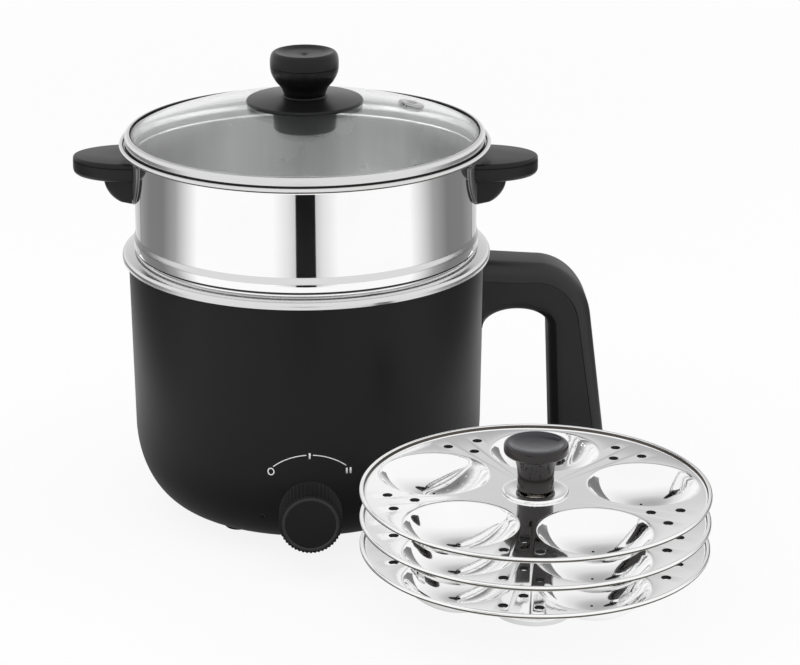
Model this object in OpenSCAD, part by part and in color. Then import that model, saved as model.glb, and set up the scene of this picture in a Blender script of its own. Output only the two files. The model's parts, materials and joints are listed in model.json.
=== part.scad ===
// Electric multipurpose kettle with a steamer bowl, a glass lid and a stand of idli plates.
// Millimetres. The origin is on the kettle's axis at the table, +Z is up, -Y is the front
// with the control knob, and +X is the side with the handle.

/* [Body] */
// Height of the rubber feet under the body
foot_h = 6; // [4:0.5:12]
// Height of the outer shell
body_h = 117; // [110:1:150]
// Outer radius of the shell at its top
body_r = 83; // [78:1:100]
// How much narrower the shell is above its bottom corner
body_draft = 1; // [0:0.1:2]
// Wall of the shell
wall = 2.4; // [1.8:0.1:3.2]
// Width of the rounded bottom corner
corner_w = 24; // [20:1:28]
// Height of the rounded bottom corner
corner_h = 38; // [34:1:42]

/* [Base] */
// Flat lip of the shell around the base cover
cover_lip = 2; // [1:0.5:4]
// Thickness of the base cover
cover_t = 2.2; // [1.6:0.1:3.5]
// Width of the shell's ledge that the base cover lies against
ledge_w = 3.5; // [2.5:0.5:5]
// Radius of a rubber foot
foot_r = 6.5; // [5:0.5:8]
// Radius of the foot's plug in the base cover
plug_r = 3; // [2:0.5:4]
// Radius of the shank of the small screws
screw_r = 1.5; // [1.2:0.1:2]
// Radius of the head of the small screws
screw_head_r = 3; // [2.6:0.1:3.6]
// Height of the head of the small screws
screw_head_h = 1.8; // [1.2:0.1:2.2]

/* [Pot] */
// Thickness of the pressed steel sheet
sheet = 0.6; // [0.5:0.1:0.9]
// Air between the pot and the shell
pot_air = 1.5; // [1:0.1:4]
// Height of the room under the pot for the heater and the switch
bay_h = 40; // [38:1:48]
// Radius of the pot's bottom corner
pot_corner = 14; // [8:1:20]
// Height of the pot's rim above the shell
rim_h = 5.5; // [5:0.1:8]
// How far the pot's rim stands out over the shell
rim_over = 2.8; // [2:0.1:4]
// Drop of the pot's rim towards its outer edge
rim_drop = 1; // [0.6:0.1:1.4]

/* [Heater] */
// Radius of the aluminium heater plate under the pot
heater_r = 50; // [44:1:54]
// Thickness of the heater plate
heater_t = 4; // [4:0.5:6]
// Radius of the heating element's ring
element_r = 36; // [30:1:40]
// Radius of the heating element's tube
element_tube = 3.2; // [2.5:0.1:3.6]
// Opening of the element's ring, in degrees
element_gap = 40; // [30:1:60]
// Size of the blocks at the element's ends
terminal_w = 9; // [8:0.5:10]
// Radius of the thermostat
thermostat_r = 8; // [7:0.5:10]
// Height of the thermostat
thermostat_h = 9; // [7:0.5:11]
// Radius of the thermal fuse
fuse_r = 2.2; // [1.8:0.1:2.6]
// Length of the thermal fuse
fuse_len = 16; // [12:1:20]
// Distance of the thermal fuse from the axis
fuse_x = 22; // [19:1:26]

/* [Control] */
// Radius of the control knob
knob_r = 14.2; // [12.5:0.1:16]
// Length of the control knob
knob_len = 17.5; // [14:0.5:20]
// Height of the knob's axis above the shell's bottom
knob_up = 22.5; // [20:0.5:24]
// Radius of the shell's boss behind the knob
boss_r = 12; // [10:0.5:13]
// How far the boss stands out past the shell
boss_out = 0.6; // [0.3:0.1:2]
// Depth of the boss
boss_depth = 12.5; // [11:0.5:14]
// Gap between the boss and the knob
knob_gap = 1; // [0.5:0.1:2]
// Wall of the knob
knob_wall = 3; // [2:0.5:3.5]
// Radius of the switch's shaft
shaft_r = 3; // [2.5:0.1:3.2]
// Radius of the switch's threaded bush
bush_r = 4.5; // [4.2:0.1:5]
// Thickness of the switch's nut
nut_t = 2.4; // [2:0.1:3]
// Width of the switch's housing
switch_w = 24; // [20:1:26]
// Depth of the switch's housing
switch_d = 19; // [16:1:22]

/* [Indicator] */
// Radius of the indicator's lens
lens_r = 1; // [0.8:0.1:2.2]
// Angle of the indicator, left of the front
lens_angle = 16.2; // [14:0.1:24]
// Height of the indicator above the shell's bottom
lens_up = 16; // [14:0.5:26]
// Length of the indicator's lamp
lamp_len = 13; // [9:1:15]

/* [Handle] */
// Room for the fingers between the shell and the grip
finger_gap = 30.2; // [28:0.1:40]
// Height of the handle's arm
arm_t = 24.3; // [22:0.1:26]
// Depth of the grip below the bend
grip_t = 20.3; // [19:0.1:26]
// Half width of the handle
grip_half = 13; // [11:0.5:16]
// Fall of the arm's top from the shell to the bend
arm_fall = 1.8; // [0:0.1:3]
// Width of the outer corner of the handle's bend
bend_out_w = 26; // [23:1:30]
// Height of the outer corner of the handle's bend
bend_out = 30; // [23:1:34]
// Height of the inner corner of the handle's bend
bend_in = 8.2; // [6:0.1:10]
// Width of the inner corner of the handle's bend
bend_in_w = 14.6; // [10:0.1:15]
// Lean of the grip's outer side, in degrees
lean_out = 7.1; // [5:0.1:9]
// Lean of the grip's inner side, in degrees
lean_in = 2.3; // [1:0.1:5]
// Height of the handle from its top to the end of the grip
handle_h = 97; // [85:1:105]
// Height of the arm's flare at the shell
root_flare = 9.5; // [5:0.5:11]
// Width of the arm's flare at the shell
root_flare_w = 15; // [8:0.5:15]
// Radius of the handle's long edges
edge_r = 6; // [4:0.5:7]
// Wall of the handle's two halves
handle_wall = 2.6; // [2:0.1:3]
// Depth of the outer half on the arm
seam_arm = 9; // [8:0.5:10.5]
// Depth of the outer half below the bend
seam_bend = 6; // [5.5:0.1:8]
// Depth of the outer half at the grip's end
seam_end = 4.8; // [4.6:0.1:8]

/* [Power inlet] */
// Width of the socket's opening
socket_w = 24; // [22:0.5:27]
// Height of the socket's opening
socket_h = 15; // [14:0.5:17]
// Depth of the socket
socket_depth = 15; // [12:0.5:17]
// Wall of the socket
socket_wall = 2; // [1.5:0.1:2.5]
// Height of the socket's centre above the shell's bottom
socket_up = 21; // [19:0.5:24]
// Thickness of the socket's flange
flange_t = 2; // [1.5:0.1:3]
// Radius of the contact pins
pin_r = 1.8; // [1.5:0.1:2]
// Distance between the contact pins
pin_step = 7; // [6:0.1:8]

/* [Steamer] */
// Height of the bowl's rim above the pot's rim
bowl_h = 49.7; // [40:0.5:70]
// How deep the bowl sinks into the pot
bowl_sink = 10; // [9:0.5:20]
// Clearance between the bowl and the pot
bowl_clear = 1.2; // [0.6:0.1:1.6]
// How far the bowl's skirt reaches over the pot's rim
skirt_over = 2.7; // [2.4:0.1:3.2]
// Height of the bowl's skirt
skirt_h = 7; // [5:0.5:10]
// Step between the skirt and the wall
skirt_step = 0.8; // [0.4:0.1:1.2]
// How far the bowl's rim stands out from its wall
rim_out = 6.4; // [5.5:0.1:8]
// Radius of the rolled bead on the bowl's rim
bead_r = 1.1; // [0.9:0.1:1.4]
// Radius of a steam hole
steam_hole_r = 2.5; // [1.5:0.1:3]
// Distance between steam holes
steam_step = 18; // [14:0.5:20]

/* [Steamer handles] */
// How far the handles stand out from the bowl's wall
ear_reach = 28.4; // [24:0.5:34]
// Half width of the handles at the bowl
ear_half = 19; // [16:0.5:24]
// Thickness of the handles
ear_t = 9; // [8:0.2:12]
// Depth of the handles' top below the bowl's rim
ear_drop = 6.8; // [6:0.2:10]
// Half width of the handle's foot
lug_half = 12; // [10:0.5:14]
// Height of the handle's foot
lug_h = 13; // [12:0.5:15]
// How far the handle's foot stands out below the handle
lug_reach = 13.4; // [12:0.1:15]
// Turn of the handles about the bowl, in degrees
ear_turn = -2.3; // [-5:0.1:5]
// Half width of the steel bracket behind the handle
bracket_half = 26; // [22:0.5:30]
// Thickness of the steel bracket
bracket_t = 0.8; // [0.6:0.1:1.2]

/* [Lid] */
// Clearance between the lid's band and the bowl's bead
lid_clear = 0.4; // [0.3:0.1:0.8]
// Height of the lid's steel band
band_h = 4.9; // [4.6:0.1:6.5]
// Thickness of the glass
glass_t = 3.5; // [3:0.1:3.5]
// Rise of the glass dome
dome_h = 14.5; // [12:0.5:22]
// Radius of the vent's flange
vent_flange_r = 6.2; // [5:0.1:7]
// Radius of the vent's opening
vent_hole_r = 2.2; // [1.5:0.1:2.6]
// Distance of the vent from the axis, along the dome
vent_pitch = 51; // [45:1:62]
// Angle of the vent from the handle's side
vent_angle = 14; // [0:1:90]
// Radius of the disc under the lid's knob
disc_r = 27; // [22:0.5:32]
// Thickness of the disc's edge
disc_edge = 1.8; // [1.4:0.1:2.6]
// Rise of the disc to its middle
disc_rise = 3; // [2:0.1:4]
// Greatest radius of the lid's knob
lid_knob_r = 15.8; // [14:0.1:19]
// Radius of the knob's neck
lid_neck_r = 9.6; // [8:0.1:11]
// Height of the lid's knob
lid_knob_h = 20; // [18:0.5:26]
// Radius of the collar under the glass
collar_r = 14.5; // [12:0.5:17]
// Height of the collar under the glass
collar_h = 11; // [7:0.5:13]
// Radius of the lid's screw
lid_screw_r = 2.5; // [2:0.1:3]

/* [Idli stand] */
// Clearance between the plates and the pot
plate_clear = 1.5; // [1:0.1:3]
// Distance between the plates
plate_step = 12.5; // [11:0.5:18]
// Height of the lowest plate
plate_up = 31; // [28:0.5:40]
// Thickness of a plate
plate_t = 0.8; // [0.6:0.1:1.2]
// Height of a plate's rim
plate_rim_h = 2.2; // [1.8:0.1:3]
// Radius of a plate's rolled edge
plate_bead_r = 1; // [0.8:0.1:1.3]
// Dimples on each plate
dimple_count = 5; // [4:1:5]
// Radius of a dimple
dimple_r = 25; // [20:0.5:25.5]
// Depth of a dimple
dimple_depth = 13; // [10:0.5:15]
// Flat strip between a dimple and the plate's rim
dimple_edge = 1; // [0.6:0.1:3]
// Angle of the first dimple from the handle's side
dimple_start = 8; // [0:1:71]
// Radius of a drain hole between the dimples
drain_r = 2.2; // [1.5:0.1:2.6]
// Radius of a pin hole in a dimple's bottom
pin_hole_r = 0.6; // [0.5:0.1:1]
// Radius of the post
post_r = 3; // [2.5:0.1:3.5]
// Radius of the spacers between the plates
spacer_r = 5.5; // [5:0.1:7]
// Radius of the post's base
base_r = 18; // [16:0.5:30]
// Height of the post's base
base_h = 9; // [7:0.5:11]
// Radius of the washer under the knob
washer_r = 14.5; // [12:0.5:17]
// Thickness of the washer
washer_t = 1.2; // [0.8:0.1:1.8]
// Radius of the stand knob's head
stand_head_r = 14; // [12:0.5:16]
// Radius of the stand knob's stem
stand_stem_r = 8; // [7.5:0.5:9]
// Height of the stand knob
stand_knob_h = 21.5; // [20:0.5:28]
// Radius of the threaded insert in the stand knob
insert_r = 5; // [4.5:0.1:5.5]
// Length of the threaded insert
insert_len = 12; // [8:0.5:14]
// Free space between the plates and the kettle
stand_gap = 4.8; // [3:0.1:40]
// Angle of the stand from the handle's side, towards the front
stand_angle = 53.7; // [45:0.1:60]

/* [Fits] */
// Clearance between pieces that are fixed to each other
fit_gap = 0.15; // [0.05:0.05:0.25]
// Clearance between pieces that lift off each other
seat_gap = 0.25; // [0.1:0.05:0.4]
// Running clearance of a shaft in its hole
run_gap = 0.05; // [0.02:0.01:0.1]

/* [Hidden] */
$fn = 96;
bite = 1;
black = "#222224";
satin_black = "#2c2c2e";
steel = "#c9ccd0";
bright_steel = "#d8dadd";
brass_tint = "#b9984a";

// Body and base
body_low_r = body_r - body_draft;
body_top = foot_h + body_h;
corner = [body_low_r - corner_w, foot_h + corner_h];
open_r = corner[0] - cover_lip;
cover_r = open_r - fit_gap;
ledge_z = foot_h + cover_t + fit_gap;
barb_over = 0.8;
barb_r = plug_r + barb_over;
barb_h = 1.2;
foot_margin = 1;
foot_chamfer = 1;
foot_pitch = open_r - ledge_w - barb_r - foot_margin;
foot_angles = [45, 135, 225, 315];
base_boss_wall = 2.2;
base_boss_r = screw_r + base_boss_wall;
base_boss_h = 9;
base_boss_margin = 0.4;
base_screw_pitch = open_r - base_boss_r - base_boss_margin;
base_screw_angles = [90, 210, 330];
base_screw_len = 8;
slot_w = 3;
slot_len = 28;
slot_step = 9;
slot_count = 5;

// Pot
pot_r = body_low_r - wall - pot_air - sheet;
pot_z = foot_h + bay_h;
rim_top = body_top + rim_h;
rim_r = body_r + rim_over;
rim_nose = 2;
mouth_round = 2.4;
hem_in = 0.15;
hem_h = 1.1;
seal_clear = 1;
seal_in = pot_r + mouth_round + seal_clear;
seal_out = body_r - 0.2;
seal_top = rim_top - rim_drop - sheet - 2 * fit_gap;

// Heater
heater_top = pot_z - sheet;
heater_low = heater_top - heater_t;
terminal_h = 10;
terminal_low = heater_low - terminal_h;
terminal_pin_r = 1.6;
terminal_pin_len = 5;
tab_t = 0.8;
tab_w = 5;
tab_len = 6;

// Control
knob_z = foot_h + knob_up;
boss_face = body_low_r + boss_out;
switch_face = boss_face - boss_depth;
knob_back = boss_face + knob_gap;
knob_room = 6;
bush_past = 2.2;
bush_end = boss_face + nut_t + bush_past;
nut_over = 2.8;
nut_r = bush_r + nut_over;
knob_face_t = 3;
knob_chamfer = 1.2;
face_rim = 2.2;
face_sink = 0.6;
switch_tab_x = 6;
shaft_stop = 5;
shaft_free = 0.5;

// Indicator
lens_z = foot_h + lens_up;
lens_proud = 0.5;
lens_back = 2.5;
lens_out = shell_r(lens_z, 0) + lens_proud;
lens_in = shell_r(lens_z, wall) - lens_back;
lens_flange_r = lens_r + 1;
lens_flange_t = 1.6;
lamp_front = lens_in - lens_flange_t - fit_gap;

// Handle
arm_top = body_top - 1;
arm_low = arm_top - arm_t;
grip_x = body_r + finger_gap;
bend_out_at = [grip_x + grip_t - bend_out_w, arm_top - arm_fall - bend_out];
bend_in_at = [grip_x - bend_in_w, arm_low - bend_in];
tip_round = 6;
tip_flat = 0.6;
grip_end = arm_top - handle_h + tip_round;
seam_gap = 0.3;
root_sink = 5;
root_x = body_r - root_sink;
handle_screw_z = [arm_low + 2, arm_top - seam_arm - 4.5];
handle_screw_reach = 11;
handle_screw_end = body_r + handle_screw_reach;
sink_h = wall * 0.6;

// Power inlet
socket_z = foot_h + socket_up;
inlet_out = 0.5;
inlet_face = body_low_r + inlet_out;
inlet_ear = 6;
flange_half = socket_w / 2 + socket_wall + 2 * inlet_ear - 1;
flange_h = socket_h + 2 * socket_wall + 4;
inlet_screw_x = flange_half - inlet_ear / 2 - 1;
inlet_block = 9;
inlet_round = 5;
inlet_hole = inlet_block - 2;
inlet_screw_len = inlet_hole - 1 + flange_t;
socket_floor = inlet_face - socket_depth;
pin_row_z = socket_z + socket_h / 4;
pin_back = 3;
pin_tip = inlet_face - pin_back;
pin_tail_len = 4;
pin_tail = socket_floor - socket_wall - pin_tail_len;

// Steamer
bowl_low_in = pot_r - bowl_clear - sheet;
bowl_floor = rim_top - bowl_sink;
shoulder_z = rim_top + seat_gap + sheet;
skirt_in = pot_r + skirt_over - sheet;
bowl_in = skirt_in - skirt_step;
bowl_r = bowl_in + sheet;
bowl_rim = rim_top + bowl_h;
bowl_rim_r = bowl_r + rim_out;
bead_sink = 0.2;
bead_at = [bowl_rim_r - bead_r, bowl_rim - bead_sink];
flare_round = 3.5;
steam_rings = 3;

// Steamer handles
ear_top = bowl_rim - ear_drop;
ear_low = ear_top - ear_t;
ear_round = 3;
bracket_out = bowl_r + fit_gap + bracket_t;
ear_in = bracket_out + fit_gap;
lug_low = ear_low - lug_h;
ear_screw_z = lug_low + lug_h / 2;
bracket_low = lug_low - 1;
ear_nut_r = 4;
ear_nut_len = 3;
ear_nut_end = ear_in + ear_nut_len;
ear_screw_out = bowl_r + lug_reach - 5;
ear_screw_tip = bracket_out - bracket_t / 2;

// Lid
lid_r = bowl_rim_r - 2 * bead_r - lid_clear;
lid_z = bowl_rim + seat_gap;
glass_r = lid_r - sheet - fit_gap;
band_lip = 2.8;
band_foot = 0.5;
band_hook = 0.5;
band_round = 1;
dome_r = lid_r - band_lip;
glass_edge_z = lid_z + sheet + fit_gap + glass_t;
dome_ball = (dome_r * dome_r + dome_h * dome_h) / (2 * dome_h);
dome_centre = glass_edge_z + dome_h - dome_ball;
dome_top = glass_edge_z + dome_h;
glass_hole_r = lid_screw_r + 1;
vent_tilt = asin(vent_pitch / dome_ball);
vent_stem_r = vent_hole_r + 1;
vent_lip = 0.9;
vent_bevel = 0.7;
disc_hub_r = lid_neck_r + 1;
disc_lift = 0.5;
disc_bevel = 0.8;
disc_top = dome_top + disc_rise;
lid_knob_z = disc_top + fit_gap;
collar_low = dome_z(collar_r) - glass_t - collar_h;
lid_screw_head_r = lid_screw_r + 2;
lid_screw_head_h = 2.6;
lid_screw_reach = 11;
lid_screw_end = lid_knob_z + lid_screw_reach;
lid_knob_belly = 7;
collar_chamfer = 1.5;
end_room = 0.5;

// Idli stand
plate_r = pot_r - plate_clear;
plate_flat_r = plate_r - 2 * plate_bead_r;
stand_reach = body_r + plate_r + stand_gap;
stand_at = [stand_reach * cos(stand_angle), -stand_reach * sin(stand_angle)];
plate_z = [for (i = [0:2]) plate_up + i * plate_step];
dimple_ball = (dimple_r * dimple_r + dimple_depth * dimple_depth) / (2 * dimple_depth);
dimple_pitch = plate_flat_r - dimple_r - dimple_edge;
dimple_turn = 360 / dimple_count;
drain_edge = 10.5;
drain_row = 10.5;
drain_at = [plate_flat_r - drain_edge, plate_flat_r - drain_edge - drain_row];
drain_spread = 7.5;
pin_hole_pitch = 5;
plate_top = plate_z[2];
washer_top = plate_top + washer_t + fit_gap;
stand_knob_z = washer_top + fit_gap;
washer_bevel = 0.4;
head_t = 4.2;
head_lip = 1.2;
head_round = 2.6;
stem_cove = 5;
post_short = 2;
post_top = stand_knob_z + insert_len - post_short;
post_lift = 0.5;
base_chamfer = 1;
base_edge = 2.5;
base_hub = 3;

// Wires: routes from piece to piece, chosen by hand
wire_r = 1.2;
switch_back = switch_face - fit_gap - switch_d;
element_end = [element_r * sin(element_gap / 2), element_r * cos(element_gap / 2)];
terminal_end = terminal_low - terminal_pin_len;
thermostat_mid = heater_low - thermostat_h / 2;
wire_end = wire_r + 0.3;
wire_routes = [
    [[-pin_step, pin_tail - wire_end, pin_row_z], [-16, 50, 24], [-34, 16, 19], [-32, -18, 20],
        [-16, -38, 26], [-switch_tab_x, -switch_back + tab_len + wire_end, knob_z]],
    [[switch_tab_x, -switch_back + tab_len + wire_end, knob_z], [13, -34, 27], [19, -16, 29],
        [thermostat_r + tab_len + wire_end, 0, thermostat_mid]],
    [[-thermostat_r - tab_len - wire_end, 0, thermostat_mid], [-21, 12, 27], [-18, 26, 21],
        [-element_end[0], element_end[1], terminal_end - wire_end]],
    [[pin_step, pin_tail - wire_end, pin_row_z], [11, 50, 25], [14, 40, 20],
        [element_end[0], element_end[1], terminal_end - wire_end]]
];

// Points along an elliptical arc about c
function arc(c, rx, rz, a0, a1, n) = [
    for (i = [0:n]) let (a = a0 + (a1 - a0) * i / n) [c[0] + rx * cos(a), c[1] + rz * sin(a)]];

function backwards(list) = [for (i = [len(list) - 1:-1:0]) list[i]];

function unit(v) = v / norm(v);

// Right-hand normal of a path at point i
function right_of(path, i) = let (
    last = len(path) - 1,
    d = unit(path[min(i + 1, last)] - path[max(i - 1, 0)])) [d[1], -d[0]];

// Path at distance t on the right-hand side of a path
function right_side(path, t) = [for (i = [0:len(path) - 1]) path[i] + t * right_of(path, i)];

// Outline of a sheet of thickness t on the right-hand side of a path
function strip(path, t) = concat(path, backwards(right_side(path, t)));

// Radius of the shell at height z, d inside its outer face
function shell_r(z, d) = z < corner[1]
    ? corner[0] + (corner_w - d) * sqrt(1 - pow((corner[1] - z) / (corner_h - d), 2))
    : body_low_r - d + body_draft * (z - corner[1]) / (body_top - corner[1]);

// Outline of the shell's side, d inside its outer face
function shell_side(d) = concat(
    arc(corner, corner_w - d, corner_h - d, -90, 0, 24), [[body_r - d, body_top]]);

// Height of the glass dome's upper face at radius r
function dome_z(r) = dome_centre + sqrt(dome_ball * dome_ball - r * r);

// Smooth curve through the points of a route, n steps between two points
function spline_point(a, b, c, d, t) = 0.5 * (2 * b + (c - a) * t
    + (2 * a - 5 * b + 4 * c - d) * t * t + (3 * b - a - 3 * c + d) * t * t * t);
function spline(p, n) = concat([for (i = [0:len(p) - 2]) for (k = [0:n - 1])
    spline_point(p[max(i - 1, 0)], p[i], p[i + 1], p[min(i + 2, len(p) - 1)], k / n)], [p[len(p) - 1]]);

// Closed skin over rings of points, all with the same count
module skin(rings) {
    n = len(rings[0]);
    last = len(rings) - 1;
    sides = [for (i = [0:last - 1]) for (k = [0:n - 1]) let (m = (k + 1) % n)
        each [[i * n + k, i * n + m, (i + 1) * n + m], [i * n + k, (i + 1) * n + m, (i + 1) * n + k]]];
    ends = [[for (k = [n - 1:-1:0]) k], [for (k = [0:n - 1]) last * n + k]];
    polyhedron(points = [for (ring = rings) each ring], faces = concat(sides, ends));
}

// Round tube along a route
module tube(route, r, sides) {
    p = spline(route, 4);
    last = len(p) - 1;
    skin([for (i = [0:last]) let (
        d = unit(p[min(i + 1, last)] - p[max(i - 1, 0)]),
        s = unit(cross(abs(d[2]) > 0.9 ? [1, 0, 0] : [0, 0, 1], d)),
        u = cross(d, s))
        [for (k = [0:sides - 1]) p[i] + r * cos(360 * k / sides) * s + r * sin(360 * k / sides) * u]]);
}

// Ring of copies about the axis
module around(angles, r, z) {
    for (a = angles) rotate([0, 0, a]) translate([r, 0, z]) children();
}

// Cylinder along -Y from y0 to y1, both counted towards the front
module forward_rod(r, y0, y1, z) {
    translate([0, -y0, z]) rotate([90, 0, 0]) cylinder(r = r, h = y1 - y0);
}

// Cylinder along +X from x0 to x1
module side_rod(r, x0, x1, z) {
    translate([x0, 0, z]) rotate([0, 90, 0]) cylinder(r = r, h = x1 - x0);
}

// Pan-head screw that points up, with its head's upper face at z = 0
module pan_screw(r, len, head_r, head_h) {
    translate([0, 0, -head_h]) cylinder(r = head_r, h = head_h);
    cylinder(r = r, h = len);
}

// Body of revolution inside the shell's outer face, grown by d
module shell_solid(d) {
    rotate_extrude() polygon(concat([[0, foot_h - d]], shell_side(-d), [[0, body_top]]));
}

// Slab with round corners about the inlet's axis, from y0 to y1
module inlet_slab(half_w, half_h, y0, y1) {
    r = inlet_round;
    translate([0, y1, socket_z]) rotate([90, 0, 0]) linear_extrude(y1 - y0) polygon(concat(
        arc([half_w - r, half_h - r], r, r, 0, 90, 6), arc([-half_w + r, half_h - r], r, r, 90, 180, 6),
        arc([-half_w + r, -half_h + r], r, r, 180, 270, 6),
        arc([half_w - r, -half_h + r], r, r, 270, 360, 6)));
}

module outer_shell() color(black) difference() {
    union() {
        rotate_extrude() polygon(concat(
            [[open_r - ledge_w, ledge_z], [open_r, ledge_z], [open_r, foot_h]],
            shell_side(0), backwards(shell_side(wall)),
            [[corner[0], ledge_z + wall], [open_r - ledge_w, ledge_z + wall]]));
        around(base_screw_angles, base_screw_pitch, ledge_z + wall / 2)
            cylinder(r = base_boss_r, h = base_boss_h - wall / 2);
        forward_rod(boss_r, switch_face, boss_face, knob_z);
        inlet_slab(flange_half, flange_h / 2, inlet_face - inlet_block, inlet_face);
    }
    around(base_screw_angles, base_screw_pitch, ledge_z - bite)
        cylinder(r = screw_r + fit_gap, h = base_screw_len - cover_t + bite);
    forward_rod(bush_r + fit_gap, switch_face - bite, boss_face + bite, knob_z);
    rotate([0, 0, -lens_angle]) forward_rod(lens_r + fit_gap, lens_in, lens_out + bite, lens_z);
    for (z = handle_screw_z) {
        side_rod(screw_r + fit_gap, pot_r, body_r + bite, z);
        translate([shell_r(z, wall), 0, z]) rotate([0, 90, 0])
            cylinder(r1 = screw_head_r + fit_gap, r2 = screw_r + fit_gap, h = sink_h + fit_gap);
    }
    translate([-socket_w / 2 - socket_wall - fit_gap, socket_floor - socket_wall - bite,
        socket_z - socket_h / 2 - socket_wall - fit_gap])
        cube([socket_w + 2 * (socket_wall + fit_gap), socket_depth + socket_wall + 2 * bite,
            socket_h + 2 * (socket_wall + fit_gap)]);
    for (x = [-inlet_screw_x, inlet_screw_x]) translate([x, inlet_face + bite, socket_z])
        rotate([90, 0, 0]) cylinder(r = screw_r + fit_gap, h = inlet_hole + bite);
}

module base_cover() color(black) difference() {
    translate([0, 0, foot_h]) cylinder(r = cover_r, h = cover_t);
    around(foot_angles, foot_pitch, foot_h - bite) cylinder(r = plug_r + fit_gap, h = cover_t + 2 * bite);
    around(base_screw_angles, base_screw_pitch, foot_h - bite)
        cylinder(r = screw_r + fit_gap, h = cover_t + 2 * bite);
    for (i = [0:slot_count - 1])
        translate([(i - (slot_count - 1) / 2) * slot_step - slot_w / 2, -slot_len / 2, foot_h - bite])
            cube([slot_w, slot_len, cover_t + 2 * bite]);
}

module base_screws() color(steel) around(base_screw_angles, base_screw_pitch, foot_h)
    pan_screw(screw_r, base_screw_len, screw_head_r, screw_head_h);

module feet() color("#19191a") around(foot_angles, foot_pitch, 0) rotate_extrude() polygon([
    [0, 0], [foot_r - foot_chamfer, 0], [foot_r, foot_chamfer], [foot_r, foot_h], [plug_r, foot_h],
    [plug_r, foot_h + cover_t], [barb_r, foot_h + cover_t], [plug_r, foot_h + cover_t + barb_h],
    [0, foot_h + cover_t + barb_h]]);

module inner_pot() color(bright_steel) {
    mouth = [pot_r + mouth_round, rim_top - mouth_round];
    nose = [rim_r - rim_nose, rim_top - rim_drop - rim_nose];
    rotate_extrude() polygon(strip(concat(
        [[0, pot_z]],
        arc([pot_r - pot_corner, pot_z + pot_corner], pot_corner, pot_corner, -90, 0, 14),
        arc(mouth, mouth_round, mouth_round, 180, 90, 8),
        arc(nose, rim_nose, rim_nose, 80, -10, 8),
        [[rim_r - hem_in, body_top + hem_h]]), sheet));
}

module rim_seal() color("#161617") rotate_extrude() polygon([
    [seal_in, body_top], [seal_out, body_top], [seal_out, seal_top], [seal_in, seal_top]]);

module heater_plate() color("#b4b6b8") difference() {
    translate([0, 0, heater_low]) cylinder(r = heater_r, h = heater_t);
    rotate_extrude() translate([element_r, heater_low]) circle(r = element_tube + fit_gap);
}

module heating_element() color("#8d8f92") {
    rotate([0, 0, 90 + element_gap / 2]) rotate_extrude(angle = 360 - element_gap)
        translate([element_r, heater_low]) circle(r = element_tube);
    for (s = [-1, 1]) translate([s * element_end[0], element_end[1], 0]) {
        translate([-terminal_w / 2, -terminal_w / 2, terminal_low])
            cube([terminal_w, terminal_w, heater_low - fit_gap - terminal_low]);
        translate([0, 0, terminal_end]) cylinder(r = terminal_pin_r, h = terminal_pin_len + bite);
    }
}

module thermostat() color("#d6d2c4") {
    translate([0, 0, heater_low - thermostat_h]) cylinder(r = thermostat_r, h = thermostat_h);
    for (s = [0, 180]) rotate([0, 0, s])
        translate([thermostat_r - bite, -tab_w / 2, thermostat_mid - tab_t / 2])
            cube([tab_len + bite, tab_w, tab_t]);
}

module thermal_fuse() color("#e6e2d6") {
    translate([fuse_x, fuse_len / 2, heater_low - fuse_r - fit_gap]) rotate([90, 0, 0])
        cylinder(r = fuse_r, h = fuse_len);
}

module rotary_switch() color("#2a2a2c") difference() {
    front = switch_face - fit_gap;
    union() {
        translate([-switch_w / 2, -front, knob_z - switch_w / 2]) cube([switch_w, switch_d, switch_w]);
        forward_rod(bush_r, front - bite, bush_end, knob_z);
        for (x = [-switch_tab_x, switch_tab_x])
            translate([x - tab_w / 2, -switch_back - bite, knob_z - tab_t / 2])
                cube([tab_w, tab_len + bite, tab_t]);
    }
    forward_rod(shaft_r + run_gap, switch_back + shaft_stop, bush_end + bite, knob_z);
}

module switch_nut() color(steel) translate([0, -boss_face, knob_z]) rotate([90, 0, 0]) difference() {
    cylinder(r = nut_r, h = nut_t, $fn = 6);
    translate([0, 0, -bite]) cylinder(r = bush_r + fit_gap, h = nut_t + 2 * bite);
}

module indicator_lens() color("#7a1712") rotate([0, 0, -lens_angle]) {
    forward_rod(lens_r, lens_in - lens_flange_t / 2, lens_out, lens_z);
    forward_rod(lens_flange_r, lens_in - lens_flange_t, lens_in, lens_z);
}

module indicator_lamp() color("#d8d4c8") rotate([0, 0, -lens_angle])
    forward_rod(lens_flange_r, lamp_front - lamp_len, lamp_front, lens_z);

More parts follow.
